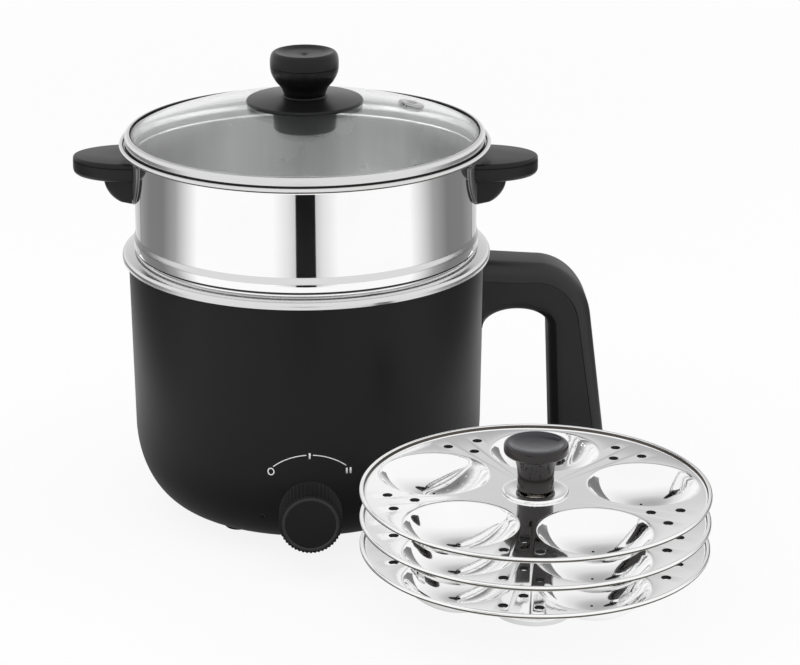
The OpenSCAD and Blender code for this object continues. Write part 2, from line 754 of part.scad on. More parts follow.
// Stations along the handle: outer point, inner point, inset towards the rounded tip, seam depth
function handle_stations() = let (
    out_dir = [sin(lean_out), -cos(lean_out)],
    in_dir = [sin(lean_in), -cos(lean_in)],
    out_0 = bend_out_at + [bend_out_w * cos(lean_out), bend_out * sin(lean_out)],
    in_0 = bend_in_at + [bend_in_w * cos(lean_in), bend_in * sin(lean_in)],
    out_len = (out_0[1] - grip_end) / cos(lean_out),
    in_len = (in_0[1] - grip_end) / cos(lean_in)) concat(
    [[[root_x, arm_top], [root_x, arm_low - root_flare], 0, seam_arm]],
    [for (a = [180:-15:90]) let (x = body_r + root_flare_w * (1 + cos(a)))
        [[x, arm_top - arm_fall * (x - root_x) / (bend_out_at[0] - root_x)],
            [x, arm_low - root_flare * (1 - sin(a))], 0, seam_arm]],
    [for (i = [0:9]) let (t = i / 9, ao = 90 - t * (90 - lean_out), ai = 90 - t * (90 - lean_in))
        [bend_out_at + [bend_out_w * cos(ao), bend_out * sin(ao)],
            bend_in_at + [bend_in_w * cos(ai), bend_in * sin(ai)],
            0, seam_arm + t * (seam_bend - seam_arm)]],
    [for (i = [1:5]) let (t = i / 5)
        [out_0 + t * out_len * out_dir, in_0 + t * in_len * in_dir, 0,
            seam_bend + t * (seam_end - seam_bend)]],
    [for (a = [25:20:85]) let (d = tip_round * sin(a))
        [out_0 + (out_len + d) * out_dir, in_0 + (in_len + d) * in_dir, tip_round * (1 - cos(a)), seam_end]]);

// Half section across the handle between depths v0 and v1, with round corners at v1
function half_section(half, v0, v1, r) = concat(
    [[-half, v0]], arc([-half + r, v1 - r], r, r, 180, 90, 4),
    arc([half - r, v1 - r], r, r, 90, 0, 4), [[half, v0]]);

// Ring of points of a half section at a station, where depth is counted from face a to face b
function handle_ring(a, b, section) = let (e = unit(b - a)) [
    for (p = section) let (q = a + p[1] * e) [q[0], p[0], q[1]]];

// Inner half of the handle, or its hollow, d inside the outer faces
module handle_inner_half(stations, d, seam) {
    skin([for (s = stations) let (h = norm(s[1] - s[0]))
        backwards(handle_ring(s[0], s[1],
            half_section(grip_half - d - s[2], s[3] + seam, h - d - s[2], max(edge_r - d, 1))))]);
}

// Outer half of the handle, or its hollow, counted from the inner face
module handle_outer_half(stations, d, seam) {
    skin([for (s = stations) let (h = norm(s[1] - s[0]))
        handle_ring(s[1], s[0],
            half_section(grip_half - d - s[2], h - s[3] + seam, h - d - tip_flat * s[2],
                min(max(edge_r - d, 1), s[3] - d - tip_flat * s[2] - 0.3)))]);
}

// Stations of the handle's hollow, midway between the others, from past the root to short of the tip
function hollow_stations() = let (s = handle_stations()) [
    for (i = [9:len(s) - 6]) (s[i] + s[i + 1]) / 2];

module handle_inner() color(satin_black) difference() {
    handle_inner_half(handle_stations(), 0, seam_gap);
    handle_inner_half(hollow_stations(), handle_wall, -bite);
    shell_solid(fit_gap);
    for (z = handle_screw_z) side_rod(screw_r + fit_gap, pot_r, handle_screw_end + fit_gap, z);
}

module handle_cover() color(satin_black) difference() {
    handle_outer_half(handle_stations(), 0, 0);
    handle_outer_half(hollow_stations(), handle_wall, -bite);
    shell_solid(fit_gap);
}

module handle_screws() color(steel) for (z = handle_screw_z) {
    translate([shell_r(z, wall), 0, z]) rotate([0, 90, 0])
        cylinder(r1 = screw_head_r, r2 = screw_r, h = sink_h);
    side_rod(screw_r, shell_r(z, wall) + sink_h / 2, handle_screw_end, z);
}

module power_inlet() color("#1d1d1f") difference() {
    union() {
        inlet_slab(flange_half, flange_h / 2, inlet_face, inlet_face + flange_t);
        translate([-socket_w / 2 - socket_wall, socket_floor - socket_wall,
            socket_z - socket_h / 2 - socket_wall])
            cube([socket_w + 2 * socket_wall, socket_depth + socket_wall + bite, socket_h + 2 * socket_wall]);
    }
    translate([-socket_w / 2, socket_floor, socket_z - socket_h / 2])
        cube([socket_w, socket_depth + flange_t + bite, socket_h]);
    for (i = [-1:1]) translate([i * pin_step, socket_floor + bite, pin_row_z]) rotate([90, 0, 0])
        cylinder(r = pin_r + run_gap, h = socket_wall + 2 * bite);
    for (x = [-inlet_screw_x, inlet_screw_x]) translate([x, inlet_face + flange_t + bite, socket_z])
        rotate([90, 0, 0]) cylinder(r = screw_r + fit_gap, h = flange_t + 2 * bite);
}

module inlet_pins() color(brass_tint) for (i = [-1:1])
    translate([i * pin_step, pin_tip, pin_row_z]) rotate([90, 0, 0])
        cylinder(r = pin_r, h = pin_tip - pin_tail);

module inlet_screws() color(steel) for (x = [-inlet_screw_x, inlet_screw_x])
    translate([x, inlet_face + flange_t, socket_z]) rotate([90, 0, 0])
        pan_screw(screw_r, inlet_screw_len, screw_head_r, screw_head_h);

module wiring() color("#7c4a2a") for (route = wire_routes) tube(route, wire_r, 8);

module control_knob() color(black) translate([0, -knob_back, knob_z]) rotate([90, 0, 0]) difference() {
    rotate_extrude() polygon([
        [0, 0], [knob_r, 0], [knob_r, knob_len - knob_chamfer], [knob_r - knob_chamfer, knob_len],
        [knob_r - face_rim, knob_len], [knob_r - face_rim - face_sink, knob_len - face_sink],
        [0, knob_len - face_sink]]);
    translate([0, 0, -bite]) cylinder(r = knob_r - knob_wall, h = knob_room + bite);
    cylinder(r = shaft_r + run_gap, h = knob_len - knob_face_t);
}

module switch_shaft() color(steel)
    forward_rod(shaft_r, switch_back + shaft_stop + shaft_free,
        knob_back + knob_len - knob_face_t - shaft_free, knob_z);

module steamer_bowl() color(bright_steel) difference() {
    low_round = 8;
    turn = 1;
    path = concat(
        [[0, bowl_floor]],
        arc([bowl_low_in - low_round, bowl_floor + low_round], low_round, low_round, -90, 0, 8),
        arc([bowl_low_in + turn, shoulder_z - turn], turn, turn, 180, 90, 5),
        arc([skirt_in - turn, shoulder_z + turn], turn, turn, -90, 0, 5),
        [[skirt_in, shoulder_z + skirt_h - turn], [bowl_in, shoulder_z + skirt_h]],
        arc([bowl_in + flare_round, bowl_rim - flare_round], flare_round, flare_round, 180, 90, 8));
    bead = arc(bead_at, bead_r, bead_r, 180 - asin(bead_sink / bead_r),
        -180 + asin((sheet - bead_sink) / bead_r), 16);
    rotate_extrude() polygon(concat(path, bead, backwards(right_side(path, sheet))));
    translate([0, 0, bowl_floor - sheet - bite]) {
        cylinder(r = steam_hole_r, h = sheet + 2 * bite);
        for (ring = [1:steam_rings]) for (i = [0:6 * ring - 1]) rotate([0, 0, i * 60 / ring])
            translate([ring * steam_step, 0, 0]) cylinder(r = steam_hole_r, h = sheet + 2 * bite);
    }
}

// Steel bracket for the handle on the +X side, with a weld nut for its screw
module steamer_bracket() color(steel) difference() {
    union() {
        intersection() {
            difference() {
                cylinder(r = bracket_out, h = bowl_rim);
                translate([0, 0, -bite]) cylinder(r = bowl_r + fit_gap, h = bowl_rim + 2 * bite);
            }
            translate([0, 0, ear_top]) rotate([90, 0, 90]) linear_extrude(bracket_out + bite) polygon(
                arc([0, 0], bracket_half, ear_top - bracket_low, -180, 0, 32));
        }
        side_rod(ear_nut_r, bracket_out - bracket_t / 2, ear_nut_end, ear_screw_z);
    }
    side_rod(screw_r + fit_gap, bowl_r + fit_gap + bracket_t / 4, ear_nut_end + bite, ear_screw_z);
}

module steamer_bracket_right() rotate([0, 0, ear_turn]) steamer_bracket();

module steamer_bracket_left() rotate([0, 0, ear_turn + 180]) steamer_bracket();

// Half oval of the handle's plan, d inside its edge
function ear_plan(d) = concat([[bowl_r - ear_round, -ear_half + d]],
    arc([bowl_r, 0], ear_reach - d, ear_half - d, -90, 90, 20), [[bowl_r - ear_round, ear_half - d]]);

// Handle on the +X side of the steamer
module steamer_handle() color(satin_black) difference() {
    union() {
        hull() for (a = [-90:30:90]) {
            z = a < 0 ? ear_low + ear_round * (1 + sin(a)) : ear_top - ear_round * (1 - sin(a));
            translate([0, 0, z - 0.01]) linear_extrude(0.02) polygon(ear_plan(ear_round * (1 - cos(a))));
        }
        translate([0, lug_half, 0]) rotate([90, 0, 0]) linear_extrude(2 * lug_half) polygon(concat(
            [[bowl_r - ear_round, ear_low + 1], [bowl_r - ear_round, lug_low]],
            arc([bowl_r, ear_low], lug_reach, lug_h, -90, 0, 12), [[bowl_r + lug_reach, ear_low + 1]]));
    }
    translate([0, 0, lug_low - bite]) cylinder(r = ear_in, h = ear_top - lug_low + 2 * bite);
    side_rod(ear_nut_r + fit_gap, bowl_r, ear_nut_end + fit_gap, ear_screw_z);
    side_rod(screw_r + fit_gap, bowl_r, ear_screw_out + ear_reach, ear_screw_z);
    side_rod(screw_head_r + fit_gap, ear_screw_out, ear_screw_out + ear_reach, ear_screw_z);
}

module steamer_handle_right() rotate([0, 0, ear_turn]) steamer_handle();

module steamer_handle_left() rotate([0, 0, ear_turn + 180]) steamer_handle();

module steamer_handle_screws() color(steel) for (a = [0, 180]) rotate([0, 0, ear_turn + a])
    translate([ear_screw_out, 0, ear_screw_z]) rotate([0, -90, 0])
        pan_screw(screw_r, ear_screw_out - ear_screw_tip, screw_head_r, screw_head_h);

// Place on the glass dome, square to its face
module at_vent() {
    translate([0, 0, dome_centre]) rotate([0, 0, vent_angle]) rotate([0, vent_tilt, 0])
        translate([0, 0, dome_ball]) children();
}

module lid_glass() color("#cfdadd", 0.5) difference() {
    steps = 24;
    rotate_extrude() polygon(strip(concat(
        [for (i = [0:steps]) let (r = glass_hole_r + (dome_r - glass_hole_r) * i / steps) [r, dome_z(r)]],
        [[glass_r, glass_edge_z]]), glass_t));
    at_vent() translate([0, 0, -glass_t - 2 * bite])
        cylinder(r = vent_stem_r + fit_gap, h = glass_t + 4 * bite);
}

module lid_band() color(bright_steel) {
    low_in = bowl_in - band_foot;
    top = lid_z + band_h;
    rotate_extrude() polygon([
        [low_in, lid_z], [lid_r - band_hook, lid_z], [lid_r, lid_z + band_hook], [lid_r, top - band_round],
        [lid_r - band_round, top], [dome_r, top], [dome_r, glass_edge_z + fit_gap],
        [lid_r - sheet, glass_edge_z + fit_gap],
        [lid_r - sheet, lid_z + sheet], [low_in, lid_z + sheet]]);
}

module lid_vent() color(steel) at_vent() {
    under = -glass_t - fit_gap;
    over = fit_gap;
    rotate_extrude() polygon([
        [vent_hole_r, under - vent_lip], [vent_flange_r - vent_bevel, under - vent_lip],
        [vent_flange_r - vent_bevel / 2, under], [vent_stem_r, under], [vent_stem_r, over],
        [vent_flange_r, over], [vent_flange_r, over + vent_lip / 2],
        [vent_flange_r - vent_bevel, over + vent_lip], [vent_hole_r, over + vent_lip]]);
}

module lid_disc() color(black) difference() {
    edge_low = dome_z(disc_r) + disc_lift;
    rotate_extrude() polygon(concat(
        [for (i = [0:6]) let (r = (disc_r - disc_bevel) * i / 6) [r, dome_z(r) + fit_gap]],
        [[disc_r, edge_low], [disc_r, edge_low + disc_edge - disc_bevel / 2]],
        [[disc_r - disc_bevel, edge_low + disc_edge], [disc_hub_r, disc_top - disc_bevel]],
        [[disc_hub_r - disc_bevel, disc_top], [0, disc_top]]));
    translate([0, 0, dome_top - bite]) cylinder(r = lid_screw_r + fit_gap, h = disc_rise + 2 * bite);
}

module lid_knob() color(black) translate([0, 0, lid_knob_z]) difference() {
    grow = lid_knob_r - lid_neck_r;
    belly = [lid_knob_r - lid_knob_belly, 0.7 * lid_knob_h];
    rotate_extrude() polygon(concat(
        [[0, 0], [lid_neck_r, 0], [lid_neck_r + 0.08 * grow, 0.06 * lid_knob_h],
            [lid_neck_r + 0.2 * grow, 0.16 * lid_knob_h]],
        arc(belly, lid_knob_belly, 0.44 * lid_knob_h, -48, 0, 8),
        arc(belly, lid_knob_belly, 0.3 * lid_knob_h, 10, 68, 6),
        [[lid_knob_r - 5, lid_knob_h - 0.2], [lid_knob_r - 9, lid_knob_h - 1.3], [0, lid_knob_h - 1.6]]));
    translate([0, 0, -bite]) cylinder(r = lid_screw_r + run_gap, h = lid_screw_reach + bite + end_room);
}

module lid_collar() color(black) difference() {
    rotate_extrude() polygon([
        [0, collar_low], [collar_r - collar_chamfer, collar_low], [collar_r, collar_low + collar_chamfer],
        [collar_r, dome_z(collar_r) - glass_t - fit_gap], [0, dome_z(collar_r) - glass_t - fit_gap]]);
    translate([0, 0, collar_low - bite]) {
        cylinder(r = lid_screw_head_r + fit_gap, h = lid_screw_head_h + bite);
        cylinder(r = lid_screw_r + fit_gap, h = collar_h + 2 * bite);
    }
}

module lid_screw() color(steel) translate([0, 0, collar_low]) {
    cylinder(r = lid_screw_head_r, h = lid_screw_head_h - fit_gap);
    cylinder(r = lid_screw_r, h = lid_screw_end - collar_low);
}

module at_stand() {
    translate([stand_at[0], stand_at[1], 0]) children();
}

module stand_base() color(steel) at_stand() difference() {
    rotate_extrude() polygon([
        [0, 0], [base_r - base_chamfer, 0], [base_r, base_chamfer], [base_r, base_edge],
        [spacer_r + base_hub, base_h], [0, base_h]]);
    translate([0, 0, -bite]) cylinder(r = post_r + run_gap, h = base_h + 2 * bite);
}

module stand_post() color(steel) at_stand() translate([0, 0, post_lift])
    cylinder(r = post_r, h = post_top - post_lift);

// Plate with its flat face at height z
module idli_plate(z) color(bright_steel) at_stand() difference() {
    union() {
        rotate_extrude() union() {
            polygon([[0, z - plate_t], [plate_flat_r, z - plate_t], [plate_flat_r + plate_t, z],
                [plate_flat_r + plate_t, z + plate_rim_h - plate_bead_r],
                [plate_flat_r, z + plate_rim_h - plate_bead_r], [plate_flat_r, z], [0, z]]);
            translate([plate_r - plate_bead_r, z + plate_rim_h - plate_bead_r]) circle(r = plate_bead_r);
        }
        each_dimple(z) intersection() {
            sphere(r = dimple_ball);
            translate([0, 0, -dimple_ball]) cylinder(r = dimple_r + bite, h = dimple_depth);
        }
    }
    each_dimple(z) {
        sphere(r = dimple_ball - plate_t);
        for (a = [0:90:270]) rotate([0, 0, a]) translate([pin_hole_pitch, 0, -dimple_ball - bite])
            cylinder(r = pin_hole_r, h = 4 * bite);
    }
    for (i = [0:dimple_count - 1]) rotate([0, 0, dimple_start + (i + 0.5) * dimple_turn]) {
        for (y = [-drain_spread, drain_spread]) translate([drain_at[0], y, z - plate_t - bite])
            cylinder(r = drain_r, h = plate_t + 2 * bite);
        translate([drain_at[1], 0, z - plate_t - bite]) cylinder(r = drain_r, h = plate_t + 2 * bite);
    }
    translate([0, 0, z - plate_t - bite]) cylinder(r = post_r + fit_gap, h = plate_t + 2 * bite);
}

// Centre of the ball that each dimple is part of
module each_dimple(z) {
    around([for (i = [0:dimple_count - 1]) dimple_start + i * dimple_turn], dimple_pitch,
        z + dimple_ball - dimple_depth) children();
}

module idli_plate_bottom() idli_plate(plate_z[0]);

module idli_plate_middle() idli_plate(plate_z[1]);

module idli_plate_top() idli_plate(plate_z[2]);

module stand_spacers() color(steel) at_stand() for (i = [0:2]) {
    low = i == 0 ? base_h : plate_z[i - 1];
    difference() {
        translate([0, 0, low]) cylinder(r = spacer_r, h = plate_z[i] - plate_t - low);
        translate([0, 0, low - bite]) cylinder(r = post_r + fit_gap, h = plate_z[i] - low + 2 * bite);
    }
}

module stand_washer() color(bright_steel) at_stand() difference() {
    rotate_extrude() polygon([[0, plate_top + fit_gap], [washer_r, plate_top + fit_gap],
        [washer_r, washer_top - washer_bevel], [washer_r - washer_bevel, washer_top], [0, washer_top]]);
    translate([0, 0, plate_top - bite]) cylinder(r = post_r + fit_gap, h = washer_t + 3 * bite);
}

module stand_knob_insert() color(brass_tint) at_stand() difference() {
    translate([0, 0, stand_knob_z]) cylinder(r = insert_r, h = insert_len);
    translate([0, 0, stand_knob_z - bite]) cylinder(r = post_r + run_gap, h = insert_len + 2 * bite);
}

module stand_knob() color("#141416") at_stand() translate([0, 0, stand_knob_z]) difference() {
    head_low = stand_knob_h - head_t;
    rotate_extrude() polygon(concat(
        [[0, 0], [stand_stem_r, 0], [stand_stem_r, 0.2 * head_low]],
        arc([stand_stem_r + stem_cove, 0.2 * head_low], stem_cove, 0.8 * head_low - head_lip / 2,
            180, 110, 8),
        [[stand_head_r - head_lip, head_low], [stand_head_r, head_low + head_lip]],
        arc([stand_head_r - head_round, stand_knob_h - head_round], head_round, head_round, 0, 90, 5),
        [[stand_head_r - 2 * head_round, stand_knob_h - head_lip / 2], [0, stand_knob_h - head_lip]]));
    translate([0, 0, -bite]) cylinder(r = insert_r + run_gap, h = insert_len + fit_gap + bite);
}

outer_shell();
base_cover();
base_screws();
feet();
inner_pot();
rim_seal();
heater_plate();
heating_element();
thermostat();
thermal_fuse();
rotary_switch();
switch_nut();
indicator_lens();
indicator_lamp();
handle_inner();
handle_cover();
handle_screws();
power_inlet();
inlet_pins();
inlet_screws();
wiring();
control_knob();
switch_shaft();
steamer_bowl();
steamer_bracket_left();
steamer_bracket_right();
steamer_handle_left();
steamer_handle_right();
steamer_handle_screws();
lid_glass();
lid_band();
lid_vent();
lid_disc();
lid_knob();
lid_collar();
lid_screw();
stand_base();
stand_post();
idli_plate_bottom();
idli_plate_middle();
idli_plate_top();
stand_spacers();
stand_washer();
stand_knob_insert();
stand_knob();
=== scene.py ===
"""Looks of an electric multipurpose kettle with a steamer bowl, a glass lid and a stand of idli plates.

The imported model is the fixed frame. Each operator models one piece, or one group of like pieces, where the
frame has it, and gives it its finish. Outlines are written in millimetres, as radius and height on turned
pieces. The finished meshes are in metres.
"""

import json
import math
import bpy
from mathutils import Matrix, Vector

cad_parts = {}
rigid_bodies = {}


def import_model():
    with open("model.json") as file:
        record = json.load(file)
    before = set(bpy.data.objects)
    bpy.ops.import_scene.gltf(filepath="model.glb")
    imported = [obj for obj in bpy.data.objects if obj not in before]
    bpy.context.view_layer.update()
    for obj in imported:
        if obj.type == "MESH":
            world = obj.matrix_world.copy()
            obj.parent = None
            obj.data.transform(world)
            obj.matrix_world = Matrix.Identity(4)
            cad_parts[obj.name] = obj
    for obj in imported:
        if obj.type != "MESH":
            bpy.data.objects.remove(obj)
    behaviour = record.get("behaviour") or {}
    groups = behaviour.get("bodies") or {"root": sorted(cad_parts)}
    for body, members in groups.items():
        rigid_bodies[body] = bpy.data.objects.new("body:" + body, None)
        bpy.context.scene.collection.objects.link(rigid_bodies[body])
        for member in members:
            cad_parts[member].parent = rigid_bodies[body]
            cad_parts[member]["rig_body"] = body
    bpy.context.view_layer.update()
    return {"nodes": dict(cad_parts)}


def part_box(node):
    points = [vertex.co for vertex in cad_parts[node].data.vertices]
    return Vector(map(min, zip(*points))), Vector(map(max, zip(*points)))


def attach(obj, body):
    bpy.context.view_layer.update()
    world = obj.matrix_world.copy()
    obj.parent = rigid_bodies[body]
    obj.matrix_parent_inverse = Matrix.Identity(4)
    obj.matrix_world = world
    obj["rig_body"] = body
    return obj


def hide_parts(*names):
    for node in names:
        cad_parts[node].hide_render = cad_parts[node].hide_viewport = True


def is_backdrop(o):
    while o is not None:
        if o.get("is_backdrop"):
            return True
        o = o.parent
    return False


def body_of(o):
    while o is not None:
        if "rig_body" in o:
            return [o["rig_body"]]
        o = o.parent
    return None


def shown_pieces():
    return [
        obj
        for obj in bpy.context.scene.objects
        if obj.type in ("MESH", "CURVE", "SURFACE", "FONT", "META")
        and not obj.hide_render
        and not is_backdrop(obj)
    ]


bl_info = {
    "name": "Multipurpose kettle",
    "version": (1, 0, 0),
    "blender": (4, 5, 0),
    "location": "View3D > Sidebar > Kettle",
    "description": "Models the visible pieces of a multipurpose kettle and its idli stand",
    "category": "Object",
}

import bpy
from mathutils import Vector

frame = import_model()

MM = 0.001
UP = Vector((0, 0, 1))
DOWN = Vector((0, 0, -1))
FRONT = Vector((0, -1, 0))
BACK = Vector((0, 1, 0))
RIGHT = Vector((1, 0, 0))
LEFT = Vector((-1, 0, 0))


def low(node):
    """Lowest corner of a node of the frame, in millimetres."""
    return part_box(node)[0] / MM


def high(node):
    """Highest corner of a node of the frame, in millimetres."""
    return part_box(node)[1] / MM


# Places that several pieces share, read from the frame, in millimetres
BODY_LOW = low("outer_shell").z
BODY_TOP = high("outer_shell").z
BODY_R = -low("outer_shell").x
KNOB_R = high("control_knob").x
KNOB_Z = high("control_knob").z - KNOB_R
KNOB_BACK = -high("control_knob").y
BOWL_RIM = high("steamer_bowl").z
BOWL_RIM_R = high("steamer_bowl").x
GLASS_TOP = high("lid_glass").z
STAND = (low("stand_base") + high("stand_base")) / 2
STAND.z = 0
# Turn of the steamer's side handles, in degrees
EAR_TURN = -2.3


def length(name, description, value):
    """Property for a length, given in millimetres."""
    return bpy.props.FloatProperty(
        name=name, description=description, default=value * MM, min=0, unit="LENGTH")


def count(name, description, value):
    return bpy.props.IntProperty(name=name, description=description, default=value, min=3)


def tint(name, description, value):
    return bpy.props.FloatVectorProperty(
        name=name, description=description, default=value, size=3, min=0, max=1, subtype="COLOR")


class KettleSizes(bpy.types.PropertyGroup):
    """Sizes that the frame's boxes don't give."""

    shell_wall: length("Shell wall", "Wall of the outer shell", 2.4)
    shell_draft: length("Shell draft", "How much narrower the shell is at its corner than at its top", 1)
    corner_w: length("Corner width", "Width of the shell's round bottom corner", 24)
    corner_h: length("Corner height", "Height of the shell's round bottom corner", 38)
    sheet: length("Steel sheet", "Thickness of the pressed steel", 0.6)
    handle_half: length("Handle half width", "Half the width of the main handle", 13)
    handle_edge: length("Handle edge", "Radius of the main handle's long edges", 6)
    handle_seam: length("Handle seam", "Gap between the two halves of the main handle", 0.4)
    knurl_teeth: count("Knurl teeth", "Grooves around the control knob", 48)
    knurl_depth: length("Knurl depth", "Depth of the grooves around the control knob", 0.6)
    dial_r: length("Dial radius", "Radius of the printed dial about the control knob's axis", 25.85)
    dial_line: length("Dial line", "Width of the dial's printed arc", 0.45)
    glass_t: length("Glass", "Thickness of the lid's glass", 3.5)
    dimple_r: length("Dimple radius", "Radius of a dimple in an idli plate", 25)
    dimple_depth: length("Dimple depth", "Depth of a dimple in an idli plate", 13)
    plate_t: length("Plate", "Thickness of an idli plate", 0.8)
    round_steps: count("Round steps", "Steps around a large turned piece", 160)


class KettleColours(bpy.types.PropertyGroup):
    """Colours of the finishes."""

    shell: tint("Shell", "Matte black of the outer shell", (0.0070, 0.0070, 0.0074))
    grip: tint("Grips", "Satin black of the side handles", (0.0080, 0.0080, 0.0084))
    back: tint("Handle's back", "Satin black of the main handle's outer half", (0.012, 0.012, 0.0125))
    gloss: tint("Stand knob", "Glossy black of the stand's knob", (0.0110, 0.0075, 0.0068))
    steel: tint("Steel", "Polished stainless steel", (0.90, 0.90, 0.90))
    dial: tint("Dial", "White print of the dial", (0.95, 0.95, 0.95))
    floor: tint("Floor", "Pale floor", (0.97, 0.97, 0.97))


def size(name):
    """A size of the panel, in millimetres."""
    return getattr(bpy.context.scene.kettle_sizes, name) / MM


def number(name):
    return getattr(bpy.context.scene.kettle_sizes, name)


def colour(name):
    return tuple(getattr(bpy.context.scene.kettle_colours, name))


# Outlines

def arc(centre, rx, rz, start, end, steps):
    """Points along an elliptical arc, with its angles in degrees."""
    angles = [math.radians(start + (end - start) * i / steps) for i in range(steps + 1)]
    return [(centre[0] + rx * math.cos(a), centre[1] + rz * math.sin(a)) for a in angles]


def spline(points, steps):
    """Smooth line through a few points."""
    ends = [points[0]] + points + [points[-1]]
    line = []
    for a, b, c, d in zip(ends, ends[1:], ends[2:], ends[3:]):
        for i in range(steps):
            t = i / steps
            line.append(tuple(
                0.5 * (2 * q + (r - p) * t + (2 * p - 5 * q + 4 * r - s) * t ** 2
                       + (3 * q - p - 3 * r + s) * t ** 3)
                for p, q, r, s in zip(a, b, c, d)))
    return line + [points[-1]]


def beside(path, gap):
    """A path moved sideways by a gap, to its right."""
    moved = []
    for i, (x, z) in enumerate(path):
        before, after = path[max(i - 1, 0)], path[min(i + 1, len(path) - 1)]
        dx, dz = after[0] - before[0], after[1] - before[1]
        moved.append((x + gap * dz / math.hypot(dx, dz), z - gap * dx / math.hypot(dx, dz)))
    return moved


def sheet_outline(path, thickness):
    """Closed outline of a sheet that lies to the right of a path."""
    return path + beside(path, thickness)[::-1]


def dome_z(r):
    """Height of the lid's glass at a radius."""
    edge_r = 80.4
    edge_z = low("lid_glass").z + size("glass_t")
    ball = (edge_r ** 2 + (GLASS_TOP - edge_z) ** 2) / (2 * (GLASS_TOP - edge_z))
    return GLASS_TOP - ball + math.sqrt(ball ** 2 - r ** 2)


# Modelling steps

def nothing_selected():
    """Leaves edit mode and deselects everything."""
    if bpy.context.object and bpy.context.object.mode != "OBJECT":
        bpy.ops.object.mode_set(mode="OBJECT")
    bpy.ops.object.select_all(action="DESELECT")


def only(*pieces):
    """Selects these pieces, with the first one active."""
    nothing_selected()
    for piece in pieces:
        piece.select_set(True)
    bpy.context.view_layer.objects.active = pieces[0]


def trace(points):
    """Draws a line of points in edit mode, from a small plane merged to its first point."""
    places = [Vector(p) * MM for p in points]
    bpy.ops.mesh.primitive_plane_add(size=MM, location=places[0])
    bpy.ops.mesh.merge(type="CENTER")
    for a, b in zip(places, places[1:]):
        bpy.ops.mesh.extrude_region_move(TRANSFORM_OT_translate={"value": b - a})


def start(name):
    """New piece with an empty mesh, in edit mode for vertices."""
    nothing_selected()
    bpy.ops.mesh.primitive_plane_add(size=MM)
    piece = bpy.context.object
    piece.name = name
    bpy.context.tool_settings.mesh_select_mode = (True, False, False)
    bpy.ops.object.mode_set(mode="EDIT")
    bpy.ops.mesh.select_all(action="SELECT")
    bpy.ops.mesh.delete(type="VERT")
    return piece


def end(piece, angle=30):
    """Merges doubles, turns the faces outwards, leaves edit mode and shades the piece."""
    bpy.ops.mesh.select_all(action="SELECT")
    bpy.ops.mesh.remove_doubles(threshold=0.0005 * MM)
    bpy.ops.mesh.normals_make_consistent(inside=False)
    only(piece)
    bpy.ops.object.shade_smooth_by_angle(angle=math.radians(angle))
    return piece


def turned(name, outline, at=(0, 0, 0), axis=UP, side=None, steps=None, angle=30):
    """Piece turned about an axis through a place. Its outline closes itself, or ends on the axis."""
    origin = Vector(at)
    side = side or (FRONT if axis in (RIGHT, LEFT) else RIGHT)
    line = outline if outline[0][0] == 0 and outline[-1][0] == 0 else outline + outline[:1]
    piece = start(name)
    trace([origin + side * r + axis * h for r, h in line])
    bpy.ops.mesh.select_all(action="SELECT")
    bpy.ops.mesh.spin(
        steps=steps or number("round_steps"), angle=math.tau, center=origin * MM, axis=axis)
    return end(piece, angle)


def lofted(name, rings, angle=30):
    """Piece skinned over closed rings of points, with its ends filled."""
    piece = start(name)
    for ring in rings:
        trace(ring + ring[:1])
    bpy.ops.mesh.select_all(action="SELECT")
    bpy.ops.mesh.remove_doubles(threshold=0.0005 * MM)
    bpy.ops.mesh.bridge_edge_loops()
    bpy.ops.mesh.select_all(action="SELECT")
    bpy.ops.mesh.fill_holes(sides=0)
    return end(piece, angle)


def rod(radius, a, b, steps=32):
    """Round bar between two places, for cutting holes."""
    a, b = Vector(a) * MM, Vector(b) * MM
    nothing_selected()
    bpy.ops.mesh.primitive_cylinder_add(
        vertices=steps, radius=radius * MM, depth=(b - a).length, location=(a + b) / 2,
        rotation=(b - a).to_track_quat("Z", "Y").to_euler())
    bpy.ops.object.transform_apply()
    return bpy.context.object


def block(lowest, highest):
    """Box between two corners."""
    a, b = Vector(lowest) * MM, Vector(highest) * MM
    nothing_selected()
    bpy.ops.mesh.primitive_cube_add(size=1, location=(a + b) / 2, scale=b - a)
    bpy.ops.object.transform_apply()
    return bpy.context.object


def modified(piece, kind, **settings):
    """Adds a modifier to a piece and applies it."""
    only(piece)
    modifier = piece.modifiers.new(kind.lower(), kind)
    for key, value in settings.items():
        setattr(modifier, key, value)
    bpy.ops.object.modifier_apply(modifier=modifier.name)
    return piece


def joined(*pieces):
    """The first piece with the others joined to it."""
    if len(pieces) > 1:
        only(*pieces)
        bpy.ops.object.join()
    return pieces[0]


def combined(piece, tools, operation):
    """Piece with the tools cut out of it or fused to it."""
    for tool in tools:
        modified(piece, "BOOLEAN", operation=operation, object=tool, solver="EXACT")
        bpy.data.objects.remove(tool)
    only(piece)
    bpy.ops.object.shade_smooth_by_angle(angle=math.radians(30))
    return piece


def cut(piece, *tools):
    return combined(piece, tools, "DIFFERENCE")


def fused(piece, *tools):
    return combined(piece, tools, "UNION")


def select_parts(piece, kind, wanted):
    """Enters edit mode with the vertices, edges or faces selected that a test wants."""
    only(piece)
    mesh = piece.data
    groups = {"VERT": mesh.vertices, "EDGE": mesh.edges, "FACE": mesh.polygons}
    for group in groups.values():
        group.foreach_set("select", [False] * len(group))
    bpy.context.tool_settings.mesh_select_mode = [kind == name for name in groups]
    for item in groups[kind]:
        item.select = wanted(item)
    bpy.ops.object.mode_set(mode="EDIT")


def bevelled(piece, width, segments, wanted):
    """Rounds the edges that a test of their two ends wants."""
    points = piece.data.vertices
    select_parts(piece, "EDGE", lambda e: wanted(*[points[v].co / MM for v in e.vertices]))
    bpy.ops.mesh.bevel(offset=width * MM, segments=segments, affect="EDGES")
    return end(piece)


